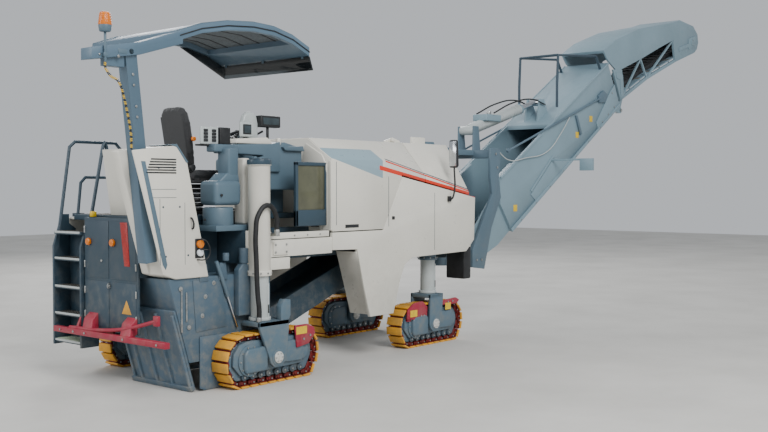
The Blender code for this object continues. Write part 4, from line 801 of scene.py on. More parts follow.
# ------------------------------------------------------------------ rear cover and cabinet
# The tall cream cover at the right rear is moulded glass fibre and guides the canopy post. The slate
# cabinet beside it is folded steel with doors, a lamp and a T-handled latch.
rounded("rear_cover_right", 0.014, cream_enamel)
rounded("rear_wall", 0.008, cream_enamel)
rounded("side_fender_left", 0.008, cream_enamel)
rounded("platform_deck", 0.006, slate_enamel)
rounded("rear_cabinet", 0.008, slate_enamel)
cover_lines = []
for low, high in (((-1.38, 1.950), (-1.09, 1.954)), ((-1.38, 2.030), (-1.09, 2.034)),
                  ((-1.29, 1.30), (-1.286, 1.94)), ((-0.99, 1.29), (-0.986, 1.90))):
    cover_lines.append(block((low[0], -0.8715, low[1]), (high[0], -0.869, high[1]), 0.0))
cover_lines += [rod((x, -0.869, z), (x, -0.874, z), 0.010, 16, 0.002) for x,
                z in ((-1.25, 1.86), (-1.05, 1.86), (-1.22, 1.38), (-0.95, 1.38), (-1.3, 2.24),
                      (-1.12, 2.24))]
fitted("cover_seams", cover_lines, slate_enamel, "chassis")
louvres = [block((-1.45 + 0.012 * k, -0.874, 2.185 + 0.026 * k), (-1.09, -0.868, 2.199 + 0.026 * k), 0.003)
           for k in range(6)]
fitted("cover_louvres", louvres, moulded_black, "chassis")
trim = [slab([(-1.16, 2.465), (-1.08, 2.475), (-0.94, 2.30), (-0.97, 2.29), (-1.08, 2.44)], -0.873, -0.515,
             "Y", 0.006)]
fitted("cover_top_trim", trim, steel_enamel, "chassis")
cover_handle = [hose([(-0.90, -0.870, 1.64), (-0.90, -0.892, 1.65), (-0.915, -0.892, 1.74),
                      (-0.915, -0.870, 1.75)], 0.009)]
cover_handle += [hose([(-0.845, -0.872, 1.53), (-0.80, -0.93, 1.53), (-0.76, -0.94, 1.50),
                       (-0.745, -0.94, 1.36), (-0.80, -0.93, 1.33), (-0.84, -0.872, 1.33)], 0.007)]
cover_handle += [hose([(-0.842, -0.872, 1.43), (-0.77, -0.94, 1.43), (-0.745, -0.94, 1.43)], 0.006)]
fitted("cover_handle", cover_handle, moulded_black, "chassis")
# Turn lamps: an orange acrylic lens over a clear one, ribbed inside, in a black rubber seat.
orange_lens = plain_surface("orange_acrylic_lens", "#f08a1c", "#d96a0e", 0.16, 45.0, 0.0, 0.6)
orange_lens.node_tree.nodes["Principled BSDF"].inputs["Transmission Weight"].default_value = 0.15
side_lamp = [rod((-0.81, -0.868, 1.485), (-0.81, -0.905, 1.485), 0.042, 32, 0.010)]
fitted("side_turn_lamp", side_lamp, orange_lens, "chassis")
fitted("side_marker_lamp", [rod((-0.81, -0.868, 1.40), (-0.81, -0.900, 1.40), 0.038, 32, 0.010)],
       lamp_glass, "chassis")
lamp_seat = [block((-0.865, -0.876, 1.345), (-0.755, -0.866, 1.54), 0.02, 3)]
fitted("side_lamp_seat", lamp_seat, moulded_black, "chassis")
post_slot = [slab([(-1.505, 2.30), (-1.455, 2.30), (-1.205, 1.30), (-1.225, 1.25), (-1.26, 1.30)], -0.874,
                  -0.868, "Y", 0.004)]
fitted("post_guide_edge", post_slot, steel_enamel, "chassis")

BACK = -1.28
doors = [block((BACK - 0.006, y0, z0), (BACK + 0.002, y1, z1), 0.004) for y0, y1, z0, z1 in (
    (-0.475, -0.045, 1.12, 1.71), (-0.475, -0.045, 0.62, 1.09), (-0.015, 0.395, 1.12, 1.71), (-0.015, 0.395,
                                                                                              0.62, 1.09))]
fitted("cabinet_doors", doors, slate_enamel, "chassis")
hinges = [rod((BACK - 0.008, y, z), (BACK - 0.008, y, z + 0.07), 0.009, 16, 0.002) for y in (-0.48, 0.40)
          for z in (0.70, 0.95, 1.22, 1.58)]
hinges += [hose([(BACK - 0.004, -0.04, 1.03), (BACK - 0.03, -0.04, 1.03), (BACK - 0.03, -0.04, 1.07),
                 (BACK - 0.004, -0.04, 1.07)], 0.006)]
hinges += [rod((BACK - 0.004, -0.04, 1.05), (BACK - 0.022, -0.04, 1.05), 0.012, 20, 0.003),
           rod((BACK - 0.004, 0.10, 1.30), (BACK - 0.016, 0.10, 1.30), 0.014, 20, 0.003)]
fitted("cabinet_latches", hinges, zinc_bolt, "chassis")
fitted("rear_turn_lamp", [rod((BACK - 0.002, -0.10, 1.49), (BACK - 0.036, -0.10, 1.49), 0.038, 32, 0.010),
                          rod((BACK - 0.002, 0.32, 1.49), (BACK - 0.036, 0.32, 1.49), 0.038, 32, 0.010)],
       orange_lens, "chassis")
tail_red = plain_surface("red_acrylic_reflector", "#b3231f", "#7d1613", 0.2, 60.0, 0.0, 0.6)
strip = [slab([(-0.22, 1.70), (-0.34, 1.70), (-0.38, 1.26), (-0.29, 1.26)], BACK - 0.011, BACK - 0.003, "X",
              0.003)]
fitted("rear_reflector", strip, tail_red, "chassis")
fitted("rear_blank_sign", [slab([(-0.40, 0.78), (-0.24, 0.78), (-0.32, 0.92)], BACK - 0.010, BACK - 0.004,
                                "X", 0.003)], pad_yellow, "chassis")
filler = [rod((-1.21, 0.36, 1.742), (-1.21, 0.36, 1.80), 0.035, 28, 0.006)]
fitted("filler_cap", filler, label_yellow, "chassis")

# ------------------------------------------------------------------ ladder, rails and bumper
# Slate-painted folded treads with punched anti-slip teeth between two cheeks, grab rails of bent
# tube, and a dark red bumper bar.
rounded("ladder", 0.003, slate_enamel)
rounded("handrails", 0.002, slate_enamel)
rounded("rear_bumper", 0.006, red_enamel)
tooth = block((-0.006, -0.012, 0.030), (0.006, 0.013, 0.036), 0.0)
teeth = [copied(tooth, (-1.284 + 0.026 * i, 0.512 + 0.05 * k, z))
         for z in (0.39, 0.68, 0.97, 1.27, 1.55) for k in range(9) for i in range(6)]
discard(tooth)
risers = [block((-1.112, 0.47, 0.42), (-1.104, 0.95, 1.55), 0.002)]
fitted("ladder_back", risers, slate_enamel, "chassis")
noses = [block((-1.308, 0.475, z + 0.012), (-1.296, 0.945, z + 0.034), 0.004)
         for z in (0.39, 0.68, 0.97, 1.27, 1.55)]
fitted("tread_noses", noses, tube_grey, "chassis")
bowed_bar = [hose([(-1.375, 0.55, 0.585), (-1.365, 0.0, 0.60), (-1.345, -0.45, 0.66), (-1.31, -0.84, 0.76)],
                  0.020),
             block((-1.33, -0.87, 0.71), (-1.29, -0.80, 0.81), 0.008)]
fitted("bumper_bow", bowed_bar, red_enamel, "chassis")
fitted("tread_teeth", teeth, worn_steel, "chassis")
deck_ribs = [block((-1.05 + 0.075 * k, 0.20, 1.759), (-1.03 + 0.075 * k, 0.83, 1.764), 0.0)
             for k in range(25)]
fitted("deck_ribs", deck_ribs, worn_steel, "chassis")
pad_green = plain_surface("pale_green_rubber_tread", "#a9b79f", "#8d9a86", 0.8, 18.0, 0.0, 0.5)
fitted("step_pad", [block((-1.30, 0.50, 0.421), (-1.12, 0.92, 0.430), 0.003)], pad_green, "chassis")
bumper_bolts = [rod((-1.40, y, 0.55), (-1.408, y, 0.55), 0.013, 6, 0.002)
                for y in (-0.95, -0.41, 0.25, 0.455, 0.70)]
fitted("bumper_bolts", bumper_bolts, zinc_bolt, "chassis")

# ------------------------------------------------------------------ hydraulic tower and side window
# Rounded blue-grey consoles with key pads for the ground crew, a cream stand pipe, and an olive
# tinted window in a black rubber-edged frame beside the platform.
tower_parts = [
    block((-0.58, -0.86, 1.60), (0.05, -0.52, 1.66), 0.008),
    rod((-0.42, -0.70, 1.64), (-0.42, -0.70, 1.845), 0.158, 48, 0.02),
    block((-0.57, -0.84, 1.865), (-0.21, -0.57, 2.12), 0.05, 4),
    slab([(-0.50, 2.10), (-0.38, 2.20), (-0.22, 2.20), (-0.20, 2.10)], -0.80, -0.60, "Y", 0.02, 3),
    block((-0.36, -0.80, 2.16), (-0.22, -0.62, 2.46), 0.02, 3),
    block((-0.46, -0.70, 2.42), (-0.12, -0.56, 2.50), 0.015, 3),
    block((0.00, -0.80, 1.66), (0.045, -0.60, 2.38), 0.01),
]
fitted("tower_consoles", tower_parts, steel_enamel, "chassis", ["hydraulic_tower"])
fitted("tower_stand_pipe", [block((-0.155, -0.80, 1.66), (-0.055, -0.64, 2.36), 0.025, 3)], cream_enamel,
       "chassis")
key_faces = [block((-0.58, -0.63, 2.50), (-0.35, -0.60, 2.68), 0.010, 3)]
fitted("key_pad_faces", key_faces, tube_grey, "chassis")
keys = [block((x, -0.642, 2.525 + 0.034 * k), (x + 0.055, -0.628, 2.553 + 0.034 * k), 0.004)
        for x in (-0.55, -0.44) for k in range(4)]
keys += [block((-0.335, -0.64, 2.50), (-0.19, -0.60, 2.68), 0.010, 3)]
keys += [block((-0.60, -0.61, 2.48), (-0.17, -0.55, 2.50), 0.006),
         rod((-0.50, -0.845, 1.97), (-0.50, -0.86, 1.97), 0.014, 20, 0.003),
         rod((-0.62, -0.74, 1.72), (-0.64, -0.74, 1.72), 0.012, 16, 0.003)]
fitted("key_pads", keys, moulded_black, "chassis")
valves = [block((-0.28 + 0.05 * k, -0.60, 1.70), (-0.25 + 0.05 * k, -0.55, 1.80), 0.006) for k in range(5)]
valves += [rod((-0.27 + 0.05 * k, -0.575, 1.80), (-0.27 + 0.05 * k, -0.575, 1.84), 0.010, 12, 0.002)
           for k in range(5)]
fitted("tower_valves", valves, worn_steel, "chassis")
lines = [hose([(-0.15 + 0.06 * k, -0.60, 1.82), (-0.10 + 0.05 * k, -0.70, 1.80),
               (0.02 + 0.04 * k, -0.78, 1.70), (0.06 + 0.035 * k, -0.90, 1.52),
               (0.07 + 0.035 * k, -0.915, 1.35)], 0.011) for k in range(4)]
fitted("tower_hoses", lines, hose_rubber, "chassis")
window_frame = [block((0.50, -0.92, z0), (1.0, -0.88, z1), 0.008) for z0,
                z1 in ((1.62, 1.80), (2.29, 2.33))]
window_frame += [block((x0, -0.92, 1.62), (x1, -0.88, 2.33), 0.008) for x0,
                 x1 in ((0.50, 0.54), (0.965, 1.0))]
fitted("window_frame", window_frame, slate_enamel, "chassis", ["side_window"])
olive_glass = plain_surface("olive_tinted_glass", "#5d5e4b", "#4c4d3f", 0.08, 3.0, 0.0, 0.02)
fitted("window_pane", [block((0.53, -0.905, 1.79), (0.975, -0.897, 2.30), 0.002)], olive_glass, "chassis")

# ------------------------------------------------------------------ driver's console
# A blue-grey desk across the platform with a cream-edged arm rest, two framed displays, a round-
# topped control unit, a black travel lever and a steering column.
desk = [slab([(0.34, 2.02), (0.90, 2.02), (0.90, 2.50), (0.62, 2.56), (0.34, 2.36)], -0.62, 0.24, "Y", 0.02,
             3),
        slab([(-0.30, 2.41), (-0.30, 2.50), (0.40, 2.53), (0.52, 2.56), (0.52, 2.22), (0.30, 2.22),
              (0.26, 2.40)], -0.66, -0.48, "Y", 0.014, 3),
        block((0.52, -0.40, 1.76), (0.82, 0.10, 2.04), 0.02, 3),
        rod((0.42, -0.14, 2.36), (0.30, -0.14, 2.58), 0.034, 24, 0.004),
        slab([(0.56, 2.50), (0.60, 2.46), (0.90, 2.46), (0.88, 2.52)], -0.66, -0.48, "Y", 0.01)]
desk.append(slab([(-0.10, 2.30), (0.30, 2.40), (0.30, 2.22), (0.0, 2.22)], -0.655, -0.62, "Y", 0.008))
fitted("console_desk", desk, steel_enamel, "chassis", ["control_console"])
arm_top = [slab([(-0.12, 2.52), (-0.10, 2.57), (0.34, 2.60), (0.42, 2.55), (0.40, 2.52)], -0.64, -0.50, "Y",
                0.014, 3)]
arm_top.append(rod((0.57, -0.57, 2.52), (0.57, -0.57, 2.60), 0.028, 24, 0.010))
fitted("console_arm_top", arm_top, cream_enamel, "chassis")
unit = [slab([(0.15, 2.56), (0.14, 2.76), (0.17, 2.84), (0.21, 2.875), (0.26, 2.885), (0.31, 2.875),
              (0.35, 2.84), (0.37, 2.76), (0.37, 2.56)],
             -0.46, -0.39, "Y", 0.02, 3),
        block((0.02, -0.56, 2.60), (0.21, -0.53, 2.76), 0.012, 3)]
fitted("console_units", unit, tube_grey, "chassis")
screens = [block((0.055, -0.566, 2.625), (0.175, -0.556, 2.735), 0.006),
           block((0.36, -0.52, 2.72), (0.66, -0.42, 2.85), 0.014, 3),
           block((0.09, -0.545, 2.55), (0.14, -0.52, 2.61), 0.006),
           rod((0.50, -0.47, 2.54), (0.50, -0.47, 2.73), 0.016, 16, 0.003),
           block((0.60, 0.00, 2.50), (0.66, 0.20, 2.72), 0.014, 3)]
screens.append(hose([(0.30, -0.20, 2.50), (0.36, -0.34, 2.60), (0.46, -0.44, 2.68)], 0.012))
fitted("console_screens", screens, moulded_black, "chassis")
screen_glass = plain_surface("grey_display_glass", "#39464b", "#2c363a", 0.1, 8.0, 0.0, 0.02)
panes = [block((0.07, -0.570, 2.64), (0.16, -0.565, 2.72), 0.002),
         block((0.39, -0.524, 2.75), (0.63, -0.519, 2.825), 0.002),
         block((0.596, 0.03, 2.54), (0.601, 0.17, 2.68), 0.002)]
fitted("console_panes", panes, screen_glass, "chassis")
lever = [hose([(0.46, 0.02, 2.44), (0.44, 0.02, 2.52), (0.42, 0.02, 2.60)], 0.011),
         rod((0.42, 0.02, 2.59), (0.415, 0.02, 2.66), 0.022, 20, 0.008)]
lever += [rod((0.70, y, 2.53), (0.70, y, 2.56), 0.012, 16, 0.003)
          for y in (-0.25, -0.18, -0.11, -0.04, 0.03, 0.10)]
fitted("travel_lever", lever, moulded_black, "chassis")

# ------------------------------------------------------------------ steering wheel
# A black moulded rim over a steel ring, three flat spokes and a round cap.
HUB = Vector((0.30, -0.14, 2.58))
lean = (HUB - Vector((0.42, -0.14, 2.36))).normalized()
wheel_centre = HUB + lean * 0.035
bpy.ops.mesh.primitive_torus_add(major_radius=0.17, minor_radius=0.0155, major_segments=64,
                                 minor_segments=14,
                                 location=placed(*wheel_centre),
                                 rotation=lean.to_track_quat("Z", "Y").to_euler())
rim = bpy.context.object
bpy.ops.object.transform_apply(location=True, rotation=True, scale=True)
front = Vector((0, 1, 0)).cross(lean)
wheel = [rim, rod(HUB + lean * 0.001, wheel_centre + lean * 0.012, 0.044, 32, 0.008)]
for turn in (pi / 2, pi * 7 / 6, pi * 11 / 6):
    reach = Vector((0, 1, 0)) * cos(turn) + front * sin(turn)
    wheel.append(rod(wheel_centre + reach * 0.02, wheel_centre + reach * 0.165, 0.014, 12, 0.002, 0.009))
# Moulded finger grips on the back of the rim.
for step in range(24):
    turn = 2 * pi * step / 24
    reach = Vector((0, 1, 0)) * cos(turn) + front * sin(turn)
    wheel.append(rod(wheel_centre + reach * 0.160 - lean * 0.012,
                     wheel_centre + reach * 0.180 - lean * 0.012, 0.006, 8, 0.002))
fitted("wheel_rim", wheel, moulded_black, "wheel_body", ["steering_wheel"])


# ------------------------------------------------------------------ driver's seat
# Foam cushions in black coated fabric on a moulded shell: the cloth bulges between its sewn edges,
# with two sewn channels down the middle panel and a piped rim. The foot is a sprung, turning post.
SEAT_X, SEAT_Y = -0.28, -0.17
VOXEL, PRESSURE, MOST_SWELL = 0.006, 4.0, 0.016
seat_cloth = plain_surface("black_coated_seat_fabric", "#1b1c1e", "#2a2b2e", 0.72, 26.0, 0.0, 0.8)
seat_cloth.node_tree.nodes["Principled BSDF"].inputs["Sheen Weight"].default_value = 0.3
CLOTH_STIFFNESS, CLOTH_STEPS = 12, 20
SEAM_REACH = 0.009


def stuffed(model):
    """The model as a filled cloth cover: remeshed, blown up by cloth simulation and smoothed."""
    bpy.ops.object.select_all(action="DESELECT")
    model.select_set(True)
    bpy.context.view_layer.objects.active = model
    remesh = model.modifiers.new("voxels", "REMESH")
    remesh.mode = "VOXEL"
    remesh.voxel_size = VOXEL
    bpy.ops.object.modifier_apply(modifier="voxels")
    before = [corner.co.copy() for corner in model.data.vertices]
    cloth = model.modifiers.new("cloth", "CLOTH")
    cloth.settings.use_pressure = True
    cloth.settings.uniform_pressure_force = PRESSURE
    cloth.settings.tension_stiffness = CLOTH_STIFFNESS
    cloth.settings.compression_stiffness = CLOTH_STIFFNESS
    cloth.settings.effector_weights.gravity = 0.0
    for frame_number in range(1, CLOTH_STEPS + 1):
        bpy.context.scene.frame_set(frame_number)
    settled = model.evaluated_get(bpy.context.evaluated_depsgraph_get()).to_mesh()
    after = [corner.co.copy() for corner in settled.vertices]
    model.modifiers.remove(cloth)
    bpy.context.scene.frame_set(1)
    for corner, start, end in zip(model.data.vertices, before, after):
        move = end - start
        if move.length > MOST_SWELL:
            move *= MOST_SWELL / move.length
        corner.co = start + move
    even = model.modifiers.new("even", "SMOOTH")
    even.factor = 0.5
    even.iterations = 6
    bpy.ops.object.modifier_apply(modifier="even")
    fine = model.modifiers.new("fine", "SUBSURF")
    fine.levels = fine.render_levels = 1
    bpy.ops.object.modifier_apply(modifier="fine")
    return model


def sewn(model, channels, axis, depth, outward):
    """Draw the cloth in along sewn lines, on the side of the pad that faces outward."""
    facing = [corner.normal.dot(outward) > 0.5 for corner in model.data.vertices]
    for corner, faces_out in zip(model.data.vertices, facing):
        if faces_out:
            pull = sum(2.718 ** -(((corner.co[axis] - line) / SEAM_REACH) ** 2) for line in channels)
            corner.co = corner.co - outward * depth * min(1.0, pull)


cushion = block((-0.505, SEAT_Y - 0.235, 2.125), (-0.015, SEAT_Y + 0.235, 2.222), 0.03, 3)
stuffed(cushion)
sewn(cushion, (SEAT_Y - 0.13, SEAT_Y + 0.13), 1, 0.008, Vector((0, 0, 1)))
fitted("seat_cushion", [cushion], seat_cloth, "driver_seat", ["seat"], 80)
rest = slab([(SEAT_Y + side * y, z) for side, y, z in (
    (-1, 0.19, 2.25), (1, 0.19, 2.25), (1, 0.22, 2.42), (1, 0.225, 2.74), (1, 0.20, 2.84), (1, 0.15, 2.895),
                                                       (1, 0.08, 2.91),
    (-1, 0.08, 2.91), (-1, 0.15, 2.895), (-1, 0.20, 2.84), (-1, 0.225, 2.74), (-1, 0.22, 2.42))], -0.50,
            -0.43, "X", 0.02, 3)
for corner in rest.data.vertices:
    corner.co.x -= 0.165 * (corner.co.z - 2.25)
stuffed(rest)
sewn(rest, (SEAT_Y - 0.12, SEAT_Y + 0.12), 1, 0.008, Vector((1, 0, 0.2)).normalized())
fitted("seat_back_rest", [rest], seat_cloth, "driver_seat", (), 80)
piping = [hose([(-0.03, SEAT_Y - 0.24, 2.175), (-0.01, SEAT_Y - 0.2, 2.175), (-0.01, SEAT_Y + 0.2, 2.175),
                (-0.03, SEAT_Y + 0.24, 2.175),
                (-0.49, SEAT_Y + 0.245, 2.175)], 0.005),
          hose([(-0.49, SEAT_Y - 0.245, 2.175), (-0.03, SEAT_Y - 0.245, 2.175)], 0.005)]
fitted("seat_piping", piping, hose_rubber, "driver_seat")
seat_shell = [block((-0.52, SEAT_Y - 0.24, 2.095), (-0.01, SEAT_Y + 0.24, 2.125), 0.012, 3),
              slab([(-0.50, 2.20), (-0.475, 2.20), (-0.585, 2.80), (-0.605, 2.80)], SEAT_Y - 0.19,
                   SEAT_Y + 0.19, "Y", 0.01, 3),
              rod((SEAT_X, SEAT_Y, 1.762), (SEAT_X, SEAT_Y, 1.79), 0.098, 36, 0.006)]
seat_shell += [rod((SEAT_X, SEAT_Y, 1.79 + 0.05 * k), (SEAT_X, SEAT_Y, 1.835 + 0.05 * k), 0.085, 32, 0.018)
               for k in range(6)]
seat_shell += [rod((-0.50, SEAT_Y + side * 0.235, 2.26), (-0.50, SEAT_Y + side * 0.20, 2.26), 0.035, 24,
                   0.006) for side in (1, -1)]
fitted("seat_shell", seat_shell, moulded_black, "driver_seat")
fitted("seat_knob", [rod((-0.505, SEAT_Y - 0.230, 2.56), (-0.505, SEAT_Y - 0.262, 2.56), 0.026, 28, 0.008)],
       orange_lens, "driver_seat")

# ------------------------------------------------------------------ canopy
# A blue-grey painted steel roof, bowed front to back, on one box-section post. Its underside has a grey
# liner held by pressed ribs, and a screen of smoked acrylic hangs round its front edge.
canopy_top = enamel("canopy_blue_grey_enamel", "#566e80", 0.35, 0.15)
rounded("canopy_frame", 0.006, canopy_top)
ARCH = ((-0.98, 3.60), (-0.70, 3.70), (-0.36, 3.77), (0.0, 3.80), (0.30, 3.79), (0.58, 3.73), (0.84, 3.62))


def arch(lift, first=0, last=7):
    return [(x, z + lift) for x, z in ARCH[first:last]]


ribs = [slab(arch(-0.045, 1, 6) + arch(-0.030, 1, 6)[::-1], y - 0.012, y + 0.012, "Y", 0.003)
        for y in (-0.52, -0.25, 0.02, 0.29, 0.50)]
ribs += [slab(arch(-0.058) + arch(-0.046)[::-1], y - 0.006, y + 0.006, "Y", 0.002) for y in (-0.803, 0.703)]
fitted("canopy_ribs", ribs, moulded_black, "canopy")
liner = [slab(arch(-0.040, 1, 6) + arch(-0.034, 1, 6)[::-1], -0.735, 0.635, "Y", 0.002)]
liner_grey = plain_surface("grey_felt_liner", "#6d7479", "#5d6468", 0.9, 40.0, 0.0, 0.6)
fitted("canopy_liner", liner, liner_grey, "canopy")
strips = [slab(arch(0.001) + arch(0.007)[::-1], y - 0.02, y + 0.02, "Y", 0.002) for y in (-0.77, 0.67)]
strips += [block((-1.70, -0.805, 3.30), (-1.60, -0.62, 3.345), 0.006),
           rod((-1.55, -0.80, 3.33), (-1.55, -0.63, 3.33), 0.03, 24, 0.004)]
fitted("canopy_gutters", strips, steel_enamel, "canopy")
post_bolts = [rod((x, -0.768, z), (x, -0.776, z), 0.014, 6, 0.002) for x,
              z in ((-1.505, 3.02), (-1.515, 3.12), (-1.47, 2.72), (-1.48, 2.82))]
post_bolts += [rod((-1.70, -0.80, 3.27), (-1.70, -0.812, 3.27), 0.016, 6, 0.002),
               rod((-1.90, -0.80, 3.27), (-1.90, -0.808, 3.27), 0.012, 6, 0.002)]
fitted("canopy_bolts", post_bolts, zinc_bolt, "canopy")
smoked = plain_surface("smoked_acrylic_screen", "#23282b", "#2c3235", 0.06, 2.0, 0.0, 0.01)
smoked.node_tree.nodes["Principled BSDF"].inputs["Transmission Weight"].default_value = 0.55
rounded("canopy_visor", 0.002, smoked)
brackets = [block((0.815, y - 0.015, 3.50), (0.852, y + 0.015, 3.545), 0.004) for y in (-0.70, -0.05, 0.60)]
fitted("visor_clips", brackets, steel_enamel, "canopy")

# ------------------------------------------------------------------ flashing lamp and its lead
# An orange ribbed lens on a grey socket, on a thin tube clamped to the canopy's back edge. Its
# yellow and black coiled lead runs down beside the post and moves with the canopy in one fixed shape.
lamp = [rod((-1.86, -0.83, 3.535), (-1.86, -0.83, 3.655), 0.063, 36, 0.010, 0.046)]
lamp += [rod((-1.86, -0.83, 3.55 + 0.016 * k), (-1.86, -0.83, 3.556 + 0.016 * k), 0.0635 - 0.0022 * k, 36,
             0.002) for k in range(6)]
fitted("flashing_lamp", lamp, orange_lens, "canopy", ["beacon"])
socket = [rod((-1.86, -0.83, 3.20), (-1.86, -0.83, 3.49), 0.012, 20, 0.002),
          rod((-1.86, -0.83, 3.475), (-1.86, -0.83, 3.54), 0.052, 32, 0.010, 0.062),
          block((-1.88, -0.845, 3.25), (-1.84, -0.802, 3.29), 0.005),
          rod((-1.86, -0.83, 3.655), (-1.86, -0.83, 3.66), 0.02, 20, 0.002)]
fitted("lamp_stem", socket, steel_enamel, "canopy")
lead_path = [Vector(p) for p in ((-1.86, -0.83, 3.20), (-1.86, -0.83, 3.15), (-1.78, -0.80, 3.08),
                                 (-1.70, -0.80, 3.04), (-1.64, -0.80, 2.90),
                                 (-1.57, -0.80, 2.60), (-1.56, -0.80, 2.4065))]


def along_path(points, count):
    """Points at even steps on a smooth curve through the given ones."""
    ends = [points[0]] + points + [points[-1]]
    fine = []
    for a, b, c, d in zip(ends, ends[1:], ends[2:], ends[3:]):
        for k in range(24):
            t = k / 24
            fine.append(0.5 * (2 * b + (c - a) * t + (2 * a - 5 * b + 4 * c - d) * t ** 2
                               + (3 * b - a - 3 * c + d) * t ** 3))
    fine.append(points[-1])
    whole = sum((b - a).length for a, b in zip(fine, fine[1:]))
    made, k = [], 0
    done = 0.0
    for a, b in zip(fine, fine[1:]):
        step = (b - a).length
        while k <= count and whole * k / count <= done + step + 1e-9:
            made.append(a.lerp(b, min(1.0, max(0.0, (whole * k / count - done) / step)) if step else 0.0))
            k += 1
        done += step
    return made


spine = along_path(lead_path, 440)
coil = []
for k, point in enumerate(spine):
    ahead = spine[min(k + 1, len(spine) - 1)] - spine[max(k - 1, 0)]
    side = ahead.normalized().cross(Vector((0, 1, 0))).normalized()
    turn = 2 * pi * k / 8
    coil.append(point + side * (0.0095 * cos(turn)) + Vector((0, 1, 0)) * (0.0095 * sin(turn)))
lead = hose(coil, 0.0042, 1, False)


def banded_lead(tree, where, split, colour):
    """Yellow and black bands along the coiled lead."""
    wave = number(tree, "SINE", number(tree, "MULTIPLY", split.outputs["Z"], 110.0), 0.0)
    return mixed(tree, number(tree, "GREATER_THAN", wave, 0.25), colour, linear("#1a1b1c"))


lead_paint = enamel("yellow_black_lead_sheath", "#d9b327", 0.5, 0.1, artwork=banded_lead)
lead = fitted("lamp_lead", [lead], lead_paint, "canopy", ["beacon_cable"], 60)
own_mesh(lead)

# ------------------------------------------------------------------ hose to the right rear leg
# A black wire-wound hydraulic hose that hangs in a loop outside the column, with crimped ends.
leg_hose = hose([(0.02, -1.12, 1.60), (-0.005, -1.13, 1.76), (-0.12, -1.133, 1.865), (-0.25, -1.13, 1.77),
                 (-0.282, -1.125, 1.60),
                 (-0.272, -1.12, 1.30), (-0.25, -1.115, 0.95), (-0.225, -1.11, 0.78),
                 (-0.22, -1.10, 0.661)], 0.026, 5)
leg_hose = fitted("leg_hose", [leg_hose], hose_rubber, None, ["column_hose"], 60)
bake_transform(leg_hose)
crimps = [rod((0.02, -1.12, 1.54), (0.02, -1.12, 1.61), 0.031, 6, 0.004),
          rod((0.02, -1.12, 1.56), (0.04, -0.99, 1.55), 0.018, 20, 0.003)]
fitted("leg_hose_end", crimps, zinc_bolt, "chassis")
fitted("leg_hose_foot", [rod((-0.22, -1.10, 0.662), (-0.22, -1.10, 0.71), 0.031, 20, 0.004)], zinc_bolt,
       "rear_right_leg_body")


